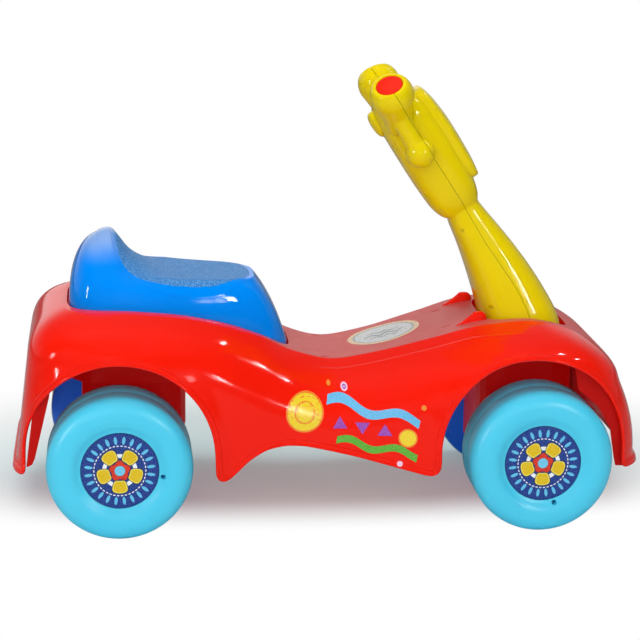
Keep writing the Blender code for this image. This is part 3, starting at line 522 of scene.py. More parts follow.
# Drawn rod and pressed washers with a bright zinc coat
def steelMaterial():
    material, shader, add, at = newMaterial("zinc_plated_steel")
    streak = add("TexNoise", {"Vector": at, "Scale": 300.0, "Detail": 3.0, "Roughness": 0.6})
    share = add("MapRange", (streak, 0.3, 0.7), **smooth)
    wear = add("TexNoise", {"Vector": at, "Scale": 90.0})
    tint = add("Mix", {0: share, 6: linear("#b9bcc0"), 7: linear("#9a9da2")}, 2, **colours)
    feed(shader, {"Base Color": tint, "Roughness": add("MapRange", (wear, 0.3, 0.7, 0.24, 0.40), **smooth),
                  "Normal": add("Bump", {"Height": streak, "Distance": 0.00002, "Strength": 1.0}),
                  "Metallic": 1.0})
    return material


# Printed wheel disc: rings of ovals and dashes, five lobes and a five-sided middle. Its attribute
# gives the place on the disc in shares of the radius.
def rosetteMaterial():
    material, shader, add, at = newMaterial("printed_disc_film")
    spot = add("Attribute", output="Vector", attribute_name="disc")
    x, z = add("SeparateXYZ", (spot,)).node.outputs[:2]
    r = add("VectorMath", (spot,), "Value", operation='LENGTH')
    angle = add("Math", (z, x), operation='ARCTAN2')
    turn = add("Math", (angle, 0.5 / math.pi, 1.25), operation='MULTIPLY_ADD')

    # angle from the middle of the nearest of count equal sectors
    def fold(count, shift=0.0):
        part = add("Math", (add("Math", (turn, count, shift), operation='MULTIPLY_ADD'),), operation='FRACT')
        wide = 2.0 * math.pi / count
        return add("Math", (part, wide, -0.5 * wide), operation='MULTIPLY_ADD')

    def within(value, limit, soft=0.006):
        return add("MapRange", (value, limit - soft, limit + soft, 1.0, 0.0), **smooth)

    def gap(value, centre=0.0):
        return add("Math", (add("Math", (value, centre), operation='SUBTRACT'),), operation='ABSOLUTE')

    def power(value, scale, exponent):
        share = add("Math", (value, scale), operation='DIVIDE')
        return add("Math", (add("Math", (share,), operation='ABSOLUTE'), exponent), operation='POWER')

    across = add("Math", (fold(24.0), r), operation='MULTIPLY')
    oval = add("Math", (power(across, 0.041, 2.0), power(gap(r, 0.805), 0.105, 2.0)), operation='ADD')
    dash = (within(gap(r, 0.66), 0.012), within(gap(fold(42.0)), 0.044, 0.008))
    link = (within(gap(r, 0.40), 0.050), within(gap(fold(5.0)), 0.30, 0.02))
    # five lobes, the first straight down
    lobeTurn = fold(5.0, 0.5)
    along = add("Math", (r, add("Math", (lobeTurn,), operation='COSINE')), operation='MULTIPLY')
    aside = add("Math", (r, add("Math", (lobeTurn,), operation='SINE')), operation='MULTIPLY')
    width = add("MapRange", (along, 0.24, 0.60, 0.135, 0.235))
    lobe = add("Math", (power(gap(r, 0.43), 0.165, 3.6), power(aside, width, 3.2)), operation='ADD')
    wave = add("Math", (add("Math", (lobeTurn, 5.0), operation='MULTIPLY'),), operation='COSINE')
    edge = add("Math", (wave, -0.030, 0.245), operation='MULTIPLY_ADD')
    star = add("Math", (r, edge), operation='SUBTRACT')
    rim = add("MapRange", (r, 0.985, 0.995), **smooth)
    colour = linear("#1c3c8c")
    for mask, ink in ((within(oval, 1.0, 0.15), "#62c2ea"),
                      (add("Math", dash, operation='MULTIPLY'), "#f4f6fa"),
                      (add("Math", link, operation='MULTIPLY'), "#eef1f4"),
                      (within(lobe, 1.42, 0.16), "#15202e"), (within(lobe, 1.02, 0.14), "#f0dc62"),
                      (within(lobe, 0.62, 0.10), "#e2bd0c"), (within(star, 0.012), "#3a1410"),
                      (within(star, 0.0), "#d9331c"), (within(r, 0.150), "#b8402c"),
                      (within(r, 0.133), "#6fc8ea"), (rim, "#142a66")):
        colour = add("Mix", {0: mask, 6: colour, 7: linear(ink)}, 2, **colours)
    mottle = add("TexNoise", {"Vector": at, "Scale": 800.0})
    raised = add("Bump", {"Height": within(lobe, 1.42, 0.2), "Distance": 0.00006, "Strength": 1.0})
    fine = add("Bump", {"Height": mottle, "Distance": 0.00001, "Strength": 1.0, "Normal": raised})
    feed(shader, {"Base Color": colour, "Normal": fine,
                  "Roughness": add("MapRange", (mottle, 0.3, 0.7, 0.22, 0.32), **smooth)})
    return material


# Flat printed film, a little uneven in its ink
def inkMaterial(name, colour):
    material, shader, add, at = newMaterial(name)
    mottle = add("TexNoise", {"Vector": at, "Scale": 700.0})
    thin = add("MapRange", (mottle, 0.35, 0.7, 0.0, 0.04), **smooth)
    feed(shader, {"Base Color": add("Mix", {0: thin, 6: linear(colour), 7: linear("#ffffff")}, 2, **colours),
                  "Roughness": add("MapRange", (mottle, 0.3, 0.7, 0.22, 0.30), **smooth),
                  "Normal": add("Bump", {"Height": mottle, "Distance": 0.00001, "Strength": 1.0})})
    return material


# Lamps have a place, an aim, a size and a power. Windows have a turn and a tilt in degrees instead of
# a place, and the shadow has its middle and its reach to the side, to the back and to the front.
studio = {
    "floorSize": 40.0,
    "floorBack": 6.0,
    "shadowMiddle": 0.10,
    "shadowReach": (0.75, 0.55, 0.28),
    "lamps": (("key", (-1.2, -2.6, 1.8), (0.0, 0.0, 0.15), (2.6, 2.6), 55.0),
              ("fill", (1.0, -2.7, 1.2), (0.0, 0.0, 0.15), (1.6, 1.6), 18.0),
              ("overhead", (0.0, -0.1, 2.6), (0.0, 0.0, 0.0), (2.2, 2.2), 40.0)),
    "windows": (("window_right", 33.4, 23.0, (0.17, 0.36), 10.0),
                ("window_right_dim", 29.3, 20.0, (0.10, 0.30), 1.3),
                ("window_right_dimmer", 25.9, 19.0, (0.10, 0.30), 1.0),
                ("window_side", 123.0, 53.0, (0.13, 0.11), 2.6),
                ("window_nose", 103.0, 47.0, (0.13, 0.12), 2.8),
                ("window_left", -61.0, 16.0, (0.11, 0.80), 14.0)),
    "windowReach": 2.5,
    "windowHeight": 0.2,
}


# Pale paper that fades to white outside an ellipse round the car's shadow
def floorMaterial():
    material, shader, add, at = newMaterial("pale_paper_floor")
    mottle = add("TexNoise", {"Vector": at, "Scale": 3.0})
    x, y = add("SeparateXYZ", (at,)).node.outputs[:2]
    wide, back, fore = studio["shadowReach"]
    along = add("Math", (x, wide), operation='DIVIDE')
    deep = add("Math", (y, studio["floorBack"] - studio["shadowMiddle"]), operation='ADD')
    behind = add("Math", (deep, back), operation='DIVIDE')
    deep = add("Math", (behind, add("Math", (deep, -fore), operation='DIVIDE')), operation='MAXIMUM')
    square = add("Math", (along, along), operation='MULTIPLY')
    square = add("Math", (deep, deep, square), operation='MULTIPLY_ADD')
    away = add("Math", (square,), operation='SQRT')
    # cooler right under the car, where the red shell throws its colour
    near = add("MapRange", (away, 0.05, 0.75), **smooth)
    paper = add("Mix", {0: near, 6: linear("#c9efef"), 7: linear("#eff3f3")}, 2, **colours)
    faint = add("Math", (mottle, 0.05), operation='MULTIPLY')
    feed(shader, {"Base Color": add("Mix", {0: faint, 6: paper, 7: linear("#e2e5e5")}, 2, **colours),
                  "Roughness": add("MapRange", (mottle, 0.3, 0.7, 0.85, 0.95), **smooth)})
    # the camera sees it fade to white, and gloss sees it at half strength
    rise = add("MapRange", (away, 0.42, 0.84, 0.22, 1.0), **smooth)
    fade = add("Math", (rise, add("LightPath", output="Is Camera Ray")), operation='MULTIPLY')
    quiet = add("Math", (add("LightPath", output="Is Glossy Ray"), 0.5), operation='MULTIPLY')
    dim = add("MixShader", (quiet, shader.outputs[0], add("Emission", {"Strength": 0.0})))
    surface = add("MixShader", (fade, dim, add("Emission")))
    feed(material.node_tree.nodes["Material Output"], {"Surface": surface})
    return material


# Brighter behind the car than in front and overhead, and plain white to the camera
def buildWorld():
    world = bpy.data.worlds.new("studio")
    bpy.context.scene.world = world
    world.use_nodes = True
    add = partial(addNode, world.node_tree)
    x, y, z = add("SeparateXYZ", (add("TexCoord", output="Generated"),)).node.outputs
    glow = 1.0
    for value, low, high, a, b in ((y, -0.25, 0.35, 0.16, 1.0), (z, 0.15, 0.70, 1.0, 0.25),
                                   (x, 0.0, 0.6, 1.0, 0.30), (x, -0.6, 0.0, 0.65, 1.0)):
        share = add("MapRange", (value, low, high, a, b), **smooth)
        glow = add("Math", (glow, share), operation='MULTIPLY')
    level = add("Math", (glow, add("LightPath", output="Is Camera Ray")), operation='MAXIMUM')
    grey = add("CombineColor", (level, level, level))
    feed(world.node_tree.nodes["Background"], {"Color": grey, "Strength": 1.0})
    bpy.context.scene.view_settings.view_transform = 'Standard'


def addLight(name, at, to, size, power, inGloss):
    data = bpy.data.lights.new(name, 'AREA')
    data.shape = 'RECTANGLE'
    data.size, data.size_y = size
    data.energy = power
    lamp = bpy.data.objects.new(name, data)
    bpy.context.scene.collection.objects.link(lamp)
    lamp.location = at
    lamp.rotation_euler = (Vector(to) - Vector(at)).to_track_quat('-Z', 'Y').to_euler()
    lamp.visible_glossy = inGloss
    lamp.visible_diffuse = not inGloss


# The large lamps light the car, and the small windows only show in its gloss
def buildStudio():
    bpy.ops.mesh.primitive_plane_add(size=studio["floorSize"], location=(0.0, studio["floorBack"], 0.0))
    floor = bpy.context.active_object
    floor.name = "floor"
    floor.data.materials.append(floorMaterial())
    buildWorld()
    for name, at, to, size, power in studio["lamps"]:
        addLight(name, at, to, size, power, False)
    far = studio["windowReach"]
    rise = studio["windowHeight"]
    for name, turn, tilt, size, power in studio["windows"]:
        a = math.radians(turn)
        b = math.radians(tilt)
        at = (far * math.cos(b) * math.sin(a), -far * math.cos(b) * math.cos(a), far * math.sin(b) + rise)
        addLight(name, at, (0.0, 0.0, rise), size, power, True)


# Body shell
bodyShape = {
    "halfWidth": 0.146,
    "waistHalfWidth": 0.131,
    "waistStation": 0.215,
    "waistReach": 0.150,
    "wallLean": 0.003,
    "tailFoot": -0.1070,
    "noseFoot": 0.5465,
    "tailWallTop": -0.0938,
    "noseWallTop": 0.5277,
    "noseBow": 0.0055,
    "tailDeck": -0.0560,
    "noseDeck": 0.4790,
    "floor": 0.050,
    "cornerPower": 7.0,
    "wall": 0.003,
    "deckLine": ((-0.060, 0.2250), (0.000, 0.2255), (0.050, 0.2220), (0.100, 0.2120), (0.150, 0.1938),
                 (0.185, 0.1752), (0.225, 0.1660), (0.265, 0.1722), (0.330, 0.1895), (0.385, 0.2045),
                 (0.430, 0.2080), (0.465, 0.2020), (0.490, 0.1910)),
    "shoulderLine": ((-0.100, 0.1825), (0.000, 0.1870), (0.080, 0.1650), (0.160, 0.1250), (0.225, 0.1080),
                     (0.300, 0.1220), (0.370, 0.1560), (0.430, 0.1780), (0.490, 0.1690), (0.528, 0.1490)),
    "deckWidth": ((-0.060, 0.0930), (0.060, 0.0880), (0.140, 0.0710), (0.200, 0.0535), (0.260, 0.0560),
                  (0.330, 0.0640), (0.390, 0.0700), (0.450, 0.0660), (0.490, 0.0600)),
    "deckShares": (0.985, 0.95, 0.85, 0.65, 0.40, 0.14),
    "rollTail": 70.0,
    "rollNose": 30.0,
    "rollSide": 58.0,
    "archCentres": (0.0, 0.4275),
    "archZ": 0.0862,
    "archR": 0.0975,
    "flare": 0.0045,
    "flareReach": 0.020,
    "tailEdge": 0.0590,
    "skirt": ((0.0985, 0.0640), (0.1035, 0.0585), (0.1110, 0.0600), (0.1320, 0.0800), (0.1500, 0.0905),
              (0.1700, 0.0940), (0.1900, 0.0925), (0.2450, 0.0800), (0.3180, 0.0610), (0.3260, 0.0620),
              (0.3300, 0.0690)),
    "footLip": 0.0040,
    "footLipZ": 0.0660,
    "beadR": 0.0018,
    "beadRaise": 0.0014,
    "beadSink": 0.0002,
    "beadClear": 0.0003,
    "beadStep": 0.0024,
    "steps": (200, 22, 20, 22),
    "insideSteps": (70, 8, 8, 8),
    "bosses": ((-0.0250, 0.0930), (0.1050, 0.0850)),
    "bossR": 0.0055,
    "ribs": (0.2150, 0.2700, 0.3300),
    "ribSize": (0.0022, 0.014, 0.010, 0.110),
    "slots": ((0.2179, 0.0488), (0.3493, 0.0372)),
    "slotSize": (0.0050, 0.0012),
    "gussets": (((-0.1200, 0.0715), (-0.0950, 0.0715), (-0.0890, 0.0745), (-0.0862, 0.0810),
                 (-0.0706, 0.1460), (-0.0620, 0.2000), (-0.1200, 0.2000)),
                ((0.5700, 0.0620), (0.5290, 0.0620), (0.5200, 0.0625), (0.5175, 0.0740), (0.5126, 0.1029),
                 (0.4984, 0.1274), (0.4768, 0.1456), (0.4700, 0.1850), (0.5700, 0.1850))),
    "gussetY": (0.1180, 0.1205),
    "gussetWall": 0.0025,
    "ledge": ((-0.0545, 0.2137), (-0.0465, 0.2137), (-0.0465, 0.2175), (-0.0545, 0.2175)),
    "ledgeHalf": 0.025,
    "beltDrop": 0.0067,
    "beltFrom": (0.190, 0.225),
    "beltTo": (0.400, 0.432),
}


openingShape = {
    "rear": -0.0535,
    "front": 0.1820,
    "rearHalf": 0.0805,
    "frontHalf": 0.0600,
    "taper": (0.02, 0.18),
    "cornerPower": 4.5,
    "collarWall": 0.0025,
    "collarDepth": 0.0200,
    "columnCollarZ": 0.1883,
    "toolFloor": 0.110,
    "toolRise": 0.030,
}

lugShape = {
    "tip": 0.3580,
    "length": 0.0330,
    "y": 0.0480,
    "half": 0.0085,
    "height": 0.0100,
    "lean": 0.0012,
    "zone": (0.357, 0.393, 0.0095),
}


def bodyHalfWidth(x):
    b = bodyShape
    away = min(1.0, abs(x - b["waistStation"]) / b["waistReach"])
    waist = 0.5 * (1.0 + math.cos(math.pi * away))
    return b["halfWidth"] - (b["halfWidth"] - b["waistHalfWidth"]) * waist


def archFlare(x, z):
    out = 0.0
    for centre in bodyShape["archCentres"]:
        away = math.hypot(x - centre, z - bodyShape["archZ"]) - bodyShape["archR"]
        reach = away / bodyShape["flareReach"]
        near = min(1.0, max(0.0, 1.0 - reach))
        out = max(out, bodyShape["flare"] * near * near * (3.0 - 2.0 * near))
    return out


def deckHeight(x):
    return softLine(bodyShape["deckLine"], x - place["rearAxleX"])


# One upright column of the skin, foot to deck edge, at the share s of the length and w of the width
def bodyColumn(s, w, inset, floor, wallSteps, shoulderSteps):
    b = bodyShape
    footX = alongBody(b["tailFoot"] + inset, b["noseFoot"] - inset, s)
    wallX = alongBody(b["tailWallTop"] + inset, b["noseWallTop"] - inset, s)
    deckX = alongBody(b["tailDeck"], b["noseDeck"], s)
    footY = w * (bodyHalfWidth(footX) - inset)
    wallY = w * (bodyHalfWidth(wallX) - b["wallLean"] - inset)
    deckY = w * (softLine(b["deckWidth"], deckX) - 0.3 * inset)
    wallZ = softLine(b["shoulderLine"], wallX) - 0.5 * inset
    deckZ = softLine(b["deckLine"], deckX) - inset
    startZ = b["footLipZ"] + 1.5 * b["footLip"]
    lip = b["footLip"] * s ** 9
    column = []
    for z in (floor, 0.5 * (floor + b["footLipZ"]), b["footLipZ"]):
        column.append(Vector((footX + lip, footY, z)))
    for t in (0.25, 0.5, 0.75):
        out = lip * (1.0 - smoothStep(0.0, 1.0, t))
        column.append(Vector((footX + out, footY, mix(b["footLipZ"], startZ, t))))
    column.append(Vector((footX, footY, startZ)))
    fixed = len(column) - 1
    for k in range(1, wallSteps + 1):
        t = k / wallSteps
        bow = b["noseBow"] * max(0.0, s) ** 6 * 4.0 * t * (1.0 - t)
        column.append(Vector((mix(footX, wallX, t) + bow, mix(footY, wallY, t), mix(startZ, wallZ, t))))
    endRoll = b["rollNose"] if s > 0.0 else b["rollTail"]
    roll = math.radians(mix(b["rollSide"], endRoll, abs(s) ** 6))
    shares = [k / shoulderSteps for k in range(1, shoulderSteps)] + [1.0 - 0.35 / shoulderSteps, 1.0]
    for t in shares:
        angle = roll * t
        inward = (1.0 - math.cos(angle)) / (1.0 - math.cos(roll))
        rise = math.sin(angle) / math.sin(roll)
        column.append(Vector((mix(wallX, deckX, inward), mix(wallY, deckY, inward), mix(wallZ, deckZ, rise))))
    relax(column, fixed + 1, 3, 6)
    return [Vector((station(p.x), p.y + w * archFlare(p.x, p.z), p.z)) for p in column]


def bodyForm(name, inset, floor, sideSteps, endSteps, wallSteps, shoulderSteps):
    across = bodyShape["deckShares"]
    halves = []
    for s, w in planDirections(sideSteps, endSteps, bodyShape["cornerPower"], True):
        half = bodyColumn(s, w, inset, floor, wallSteps, shoulderSteps)
        edge = half[-1]
        after = Vector((edge.x, edge.y * across[0], edge.z))
        half[-1] = 0.56 * edge + 0.22 * (half[-2] + after)
        halves.append(half + [Vector((edge.x, edge.y * share, edge.z)) for share in across])
    return sectionPiece(name, halves)


# Everything under the lower edge, raised by grow where a bead will finish it
def undersideOutline(grow):
    b = bodyShape
    rear, front = b["archCentres"]
    line = [(b["tailFoot"] - 0.030, b["tailEdge"]), (rear - b["archR"], b["tailEdge"] + 0.004)]
    for centre, onward in ((rear, list(b["skirt"])), (front, [])):
        for i in range(61):
            angle = math.pi * (1.0 - i / 60)
            line.append((centre + b["archR"] * math.cos(angle), b["archZ"] + b["archR"] * math.sin(angle)))
        line += onward
    line += [(front + b["archR"], b["tailEdge"] + 0.004), (b["noseFoot"] + 0.030, b["tailEdge"])]
    dense = []
    for k in range(len(line) - 1):
        a = Vector(line[k])
        c = Vector(line[k + 1])
        count = max(1, int((c - a).length / 0.0012))
        dense += [a + (c - a) * (i / count) for i in range(count)]
    dense.append(Vector(line[-1]))
    for _ in range(16):
        dense = [dense[0]] + [0.25 * dense[i - 1] + 0.5 * dense[i] + 0.25 * dense[i + 1]
                              for i in range(1, len(dense) - 1)] + [dense[-1]]
    raised = []
    for i, point in enumerate(dense):
        run = (dense[min(i + 1, len(dense) - 1)] - dense[max(i - 1, 0)]).normalized()
        raised.append(point + Vector((-run.y, run.x)) * grow)
    spaced = [raised[0]]
    for point in raised[1:]:
        if (point - spaced[-1]).length > 0.0017:
            spaced.append(point)
    outline = [(station(p.x), p.y) for p in spaced]
    return [(outline[0][0], 0.010)] + outline + [(outline[-1][0], 0.010)]


def openingHalf(x):
    o = openingShape
    return mix(o["rearHalf"], o["frontHalf"], smoothStep(o["taper"][0], o["taper"][1], x))


def openingPlan(grow):
    points = []
    for s, w in planDirections(60, 12, openingShape["cornerPower"]):
        x = alongBody(openingShape["rear"], openingShape["front"], s)
        points.append((station(x + grow * s * abs(s) ** 7), w * (openingHalf(x) + grow)))
    return points


def columnHolePlan(grow):
    points = []
    rear, front, half = columnShape["hole"]
    for s, w in planDirections(30, 10, openingShape["cornerPower"]):
        points.append((station(alongBody(rear - grow, front + grow, s)), w * (half + grow)))
    return points


def level(z):
    return lambda x: z


def collarFoot(x):
    return deckHeight(x) - openingShape["collarDepth"]


def aboveDeck(x):
    return deckHeight(x) + openingShape["toolRise"]


# Boat-shaped lug beside the column, its tip to the rear and its crown sloping down to the tip
def lugPiece(side):
    g = lugShape
    rings = []
    for step in range(15):
        t = step / 14.0
        lift = math.sin(0.5 * math.pi * t) if step else -0.25
        scale = math.cos(0.5 * math.pi * t * 0.93) ** 0.62
        ring = []
        for c, s in circle(48):
            reach = 0.5 * (1.0 - c)
            half = g["half"] * s * (0.35 + 0.65 * reach) * scale
            x = station(g["tip"] + g["length"] * (0.5 + (reach - 0.5) * scale) + g["lean"] * t)
            rise = g["height"] * lift * (0.22 + 0.78 * smoothStep(-0.1, 0.75, reach))
            ring.append((x, side * (g["y"] + half), deckHeight(x) + rise))
        rings.append(ring)
    return ringPiece("lug", rings)


# Loop of the lower edge on the outer skin: where skin faces meet faces cut by the tool
def lowerEdge(skin):
    tool = sidePrism("underside", undersideOutline(bodyShape["beadRaise"]), -0.20, 0.20)
    for name in ("skin", "tool"):
        skin.data.materials.append(bpy.data.materials.new(name))
        tool.data.materials.append(skin.data.materials[-1])
    for face in tool.data.polygons:
        face.material_index = 1
    cut(skin, tool)
    work = bmesh.new()
    work.from_mesh(skin.data)
    work.normal_update()
    work.verts.ensure_lookup_table()
    links = {}
    for edge in work.edges:
        kinds = [face.material_index for face in edge.link_faces]
        if len(kinds) == 2 and kinds[0] != kinds[1]:
            for a, b in (edge.verts, reversed(edge.verts)):
                links.setdefault(a.index, []).append(b.index)
    loops = []
    left = set(links)
    while left:
        loop = [left.pop()]
        while True:
            onward = [n for n in links[loop[-1]] if n in left]
            if not onward:
                break
            left.discard(onward[0])
            loop.append(onward[0])
        loops.append(loop)
    points = []
    outward = []
    for i in max(loops, key=len):
        total = Vector((0.0, 0.0, 0.0))
        for face in work.verts[i].link_faces:
            if face.material_index == 0:
                total += face.normal
        points.append(work.verts[i].co.copy())
        outward.append(total.normalized())
    work.free()
    return points, outward


# The same loop in even steps, a little smoothed
def evenLoop(points, outward, step):
    lengths = [0.0]
    count = len(points)
    for i in range(count):
        lengths.append(lengths[-1] + (points[(i + 1) % count] - points[i]).length)
    total = lengths[-1]
    steps = int(total / step)
    places = []
    facing = []
    k = 0
    for i in range(steps):
        target = total * i / steps
        while lengths[k + 1] < target:
            k += 1
        t = (target - lengths[k]) / max(1e-9, lengths[k + 1] - lengths[k])
        places.append(points[k].lerp(points[(k + 1) % count], t))
        facing.append(outward[k].lerp(outward[(k + 1) % count], t).normalized())
    for _ in range(3):
        places = [0.5 * places[i] + 0.25 * (places[i - 1] + places[(i + 1) % steps]) for i in range(steps)]
        facing = [(facing[i] * 0.5 + 0.25 * (facing[i - 1] + facing[(i + 1) % steps])).normalized()
                  for i in range(steps)]
    return places, facing


# Rolled bead that finishes the wall all the way round the lower edge
def beadPiece(points, outward):
    b = bodyShape
    places, facing = evenLoop(points, outward, b["beadStep"])
    count = len(places)
    limit = cadBox[1][0] - b["beadR"] - b["beadClear"]
    rings = []
    for i in range(count):
        run = (places[(i + 1) % count] - places[i - 1]).normalized()
        out = (facing[i] - run * facing[i].dot(run)).normalized()
        side = run.cross(out)
        centre = places[i] - out * (0.5 * b["wall"] - b["beadSink"])
        centre.x = max(-limit, min(limit, centre.x))
        rings.append([centre + out * (c * (b["beadR"] + b["beadSink"])) + side * (s * b["beadR"])
                      for c, s in circle(12)])
    return ringPiece("body_bead", rings, bored=True)


def buildBody(red, innerRed):
    b = bodyShape
    o = openingShape
    outer = bodyForm("body", 0.0, b["floor"], *b["steps"])
    points, outward = lowerEdge(outer)
    skin = skinTree(outer)
    print("stage: body skin and lower edge")
    # collars, bosses and ribs are what the hollow leaves standing
    inside = bodyForm("inside", b["wall"], b["floor"] - 0.020, *b["insideSteps"])
    cut(inside, planPrism("collar", openingPlan(o["collarWall"]), collarFoot, aboveDeck))
    collar = columnHolePlan(o["collarWall"])
    cut(inside, planPrism("column_collar", collar, level(o["columnCollarZ"]), aboveDeck))
    for x, y in b["bosses"]:
        for name, side in hands:
            boss = [(station(x) + b["bossR"] * s, side * y + b["bossR"] * w)
                    for s, w in planDirections(6, 4, 2.0)]
            cut(inside, planPrism("boss", boss, collarFoot, aboveDeck))
    wall, drop, rise, reach = b["ribSize"]
    for x in b["ribs"]:
        top = deckHeight(station(x)) + rise
        low = deckHeight(station(x)) - drop
        rib = [(station(x), low), (station(x + wall), low), (station(x + wall), top), (station(x), top)]
        cut(inside, sidePrism("rib", rib, -reach, reach))
    for name, side in hands:
        join(outer, lugPiece(side))
    cut(outer, inside)
    cut(outer, planPrism("opening", openingPlan(0.0), level(o["toolFloor"]), aboveDeck))
    cut(outer, planPrism("column_hole", columnHolePlan(0.0), level(o["toolFloor"]), aboveDeck))
    long, wide = b["slotSize"]
    for x, y in b["slots"]:
        for name, side in hands:
            slot = [(station(x + long * s), side * y + wide * w) for s, w in planDirections(6, 6, 2.6)]
            cut(outer, planPrism("slot", slot, level(o["toolFloor"]), aboveDeck))
    for name, side in hands:
        for outline in b["gussets"]:
            low = min(side * b["gussetY"][0], side * b["gussetY"][1])
            plate = sidePrism("gusset", [(station(x), z) for x, z in outline], low, low + b["gussetWall"])
            keepCommon(plate, bodyForm("trim", 0.0010, b["floor"], 60, 8, 8, 8))
            join(outer, plate)
    ledge = [(station(x), z) for x, z in b["ledge"]]
    join(outer, sidePrism("ledge", ledge, -b["ledgeHalf"], b["ledgeHalf"]))
    outer.name = "body"
    dress(outer, red, 32.0)
    # faces inside the shell take the darker red with its painted shade and glow
    outer.data.materials.append(innerRed)
    for face in outer.data.polygons:
        centre = face.center
        below = centre.z < deckHeight(centre.x) - 0.001
        face.material_index = 1 if below and skin.find_nearest(centre)[3] > 0.0016 else 0
    bead = dress(beadPiece(points, outward), red, 60.0)
    tree = pointTree(points)
    for piece in (outer, bead):
        bodyAttributes(piece, tree)
    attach(outer, "root")
    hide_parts("body_shell")
    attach(bead, "root")
    print("stage: body finished", len(outer.data.polygons), "faces")
    return skin


# Distances inside the deck's edge, from the lower edge and from the belt line, for the materials
def bodyAttributes(piece, tree):
    b = bodyShape
    low, high, half = lugShape["zone"]
    deck = []
    edge = []
    belt = []
    fade = []
    for vertex in piece.data.vertices:
        x, y, z = vertex.co
        s = x - place["rearAxleX"]
        top = deckHeight(x)
        inside = softLine(b["deckWidth"], s) - abs(y)
        lug = abs(abs(y) - lugShape["y"]) < half and low < s < high and z > top + 0.0004
        if lug or z < top - 0.0035 and s < 0.483:
            inside = min(inside, -0.002)
        if s < 0.150:
            inside = -0.01
        deck.append(inside)
        edge.append(tree.find(vertex.co)[2])
        belt.append(z - (top - b["beltDrop"]))
        shown = smoothStep(b["beltFrom"][0], b["beltFrom"][1], s)
        shown *= 1.0 - smoothStep(b["beltTo"][0], b["beltTo"][1], s)
        fade.append(shown if abs(y) > 0.05 else 0.0)
    for name, values in (("deck", deck), ("edge", edge), ("belt", belt), ("beltFade", fade)):
        addAttribute(piece, name, values)


# Seat lid
seatShape = {
    "gap": 0.0022,
    "wall": 0.0028,
    "skirt": 0.0070,
    "frontSkirt": 0.0105,
    "topLine": ((-0.0300, 0.2860), (-0.0180, 0.2962), (-0.0080, 0.2985), (0.0000, 0.2908),
                (0.0100, 0.2770), (0.0200, 0.2685), (0.0350, 0.2598), (0.0550, 0.2545),
                (0.0900, 0.2520), (0.1200, 0.2508), (0.1430, 0.2490)),
    "plainTop": 0.2550,
    "roll": 80.0,
    "frontStraight": 0.75,
    "panel": ((-0.0030, 0.0), (-0.0018, 0.0180), (-0.0004, 0.0290), (0.0040, 0.0422), (0.0118, 0.0515),
              (0.0274, 0.0615), (0.0511, 0.0656), (0.0749, 0.0632), (0.0991, 0.0580), (0.1180, 0.0490),
              (0.1310, 0.0370), (0.1385, 0.0200), (0.1410, 0.0)),
    "topRear": -0.0225,
    "topFront": 0.1445,
    "topHalf": 0.0560,
    "shares": (0.97, 0.93, 0.87, 0.79, 0.70, 0.60, 0.49, 0.38, 0.26, 0.13),
    "hinge": (0.1550, 0.1860),
    "pinHoleR": 0.0028,
    "earR": 0.0065,
    "earY": (0.0520, 0.0552),
}


def seatTop(x, w):
    hump = softLine(seatShape["topLine"], x, 0.004)
    plain = min(hump, seatShape["plainTop"])
    return mix(plain, hump, 1.0 - 0.85 * abs(w) ** 2.2)


def seatColumn(s, w, inset, drop, rollSteps, shares):
    seat = seatShape
    gap = seat["gap"] + inset
    rimX = alongBody(openingShape["rear"] + gap, openingShape["front"] - gap, s)
    rimY = w * (openingHalf(rimX) - gap)
    rimZ = deckHeight(station(rimX))
    topX = alongBody(seat["topRear"] + inset, seat["topFront"] - inset, s)
    topY = w * (seat["topHalf"] * (1.0 - 0.18 * max(0.0, s)) - inset)
    skirt = mix(seat["skirt"], seat["frontSkirt"], smoothStep(0.12, 0.16, rimX))
    column = [Vector((rimX, rimY, rimZ - skirt - drop)), Vector((rimX, rimY, rimZ - 0.5 * skirt - drop)),
              Vector((rimX, rimY, rimZ + 0.002))]
    topZ = seatTop(topX, w) - inset
    roll = math.radians(seat["roll"])
    straight = seat["frontStraight"] * max(0.0, s) ** 6
    for k in range(1, rollSteps + 1):
        t = k / rollSteps
        angle = roll * k / rollSteps
        inward = mix((1.0 - math.cos(angle)) / (1.0 - math.cos(roll)), t, straight)
        rise = mix(math.sin(angle) / math.sin(roll), t ** 0.85, straight)
        column.append(Vector((mix(rimX, topX, inward), mix(rimY, topY, inward), mix(rimZ, topZ, rise))))
    for share in shares:
        column.append(Vector((topX, topY * share, seatTop(topX, w * share) - inset)))
    relax(column, 3, 2, 4)
    return [Vector((station(p.x), p.y, p.z)) for p in column]


def seatForm(name, inset, drop, sideSteps, endSteps, rollSteps, shares):
    return sectionPiece(name, [seatColumn(s, w, inset, drop, rollSteps, shares) for s, w
                               in planDirections(sideSteps, endSteps, openingShape["cornerPower"], True)])


# Outline of the grained panel on the seat, and how far inside it a point is
def panelTree():
    points = []
    for i in range(161):
        x = 0.0690 - 0.0720 * math.cos(math.pi * i / 160)
        half = smoothLine(seatShape["panel"], x)
        points += [Vector((x, half, 0.0)), Vector((x, -half, 0.0))]
    return pointTree(points)


def panelDistance(tree, x, y):
    panel = seatShape["panel"]
    away = tree.find(Vector((x, y, 0.0)))[2]
    return away if abs(y) < smoothLine(panel, x) and panel[0][0] < x < panel[-1][0] else -away


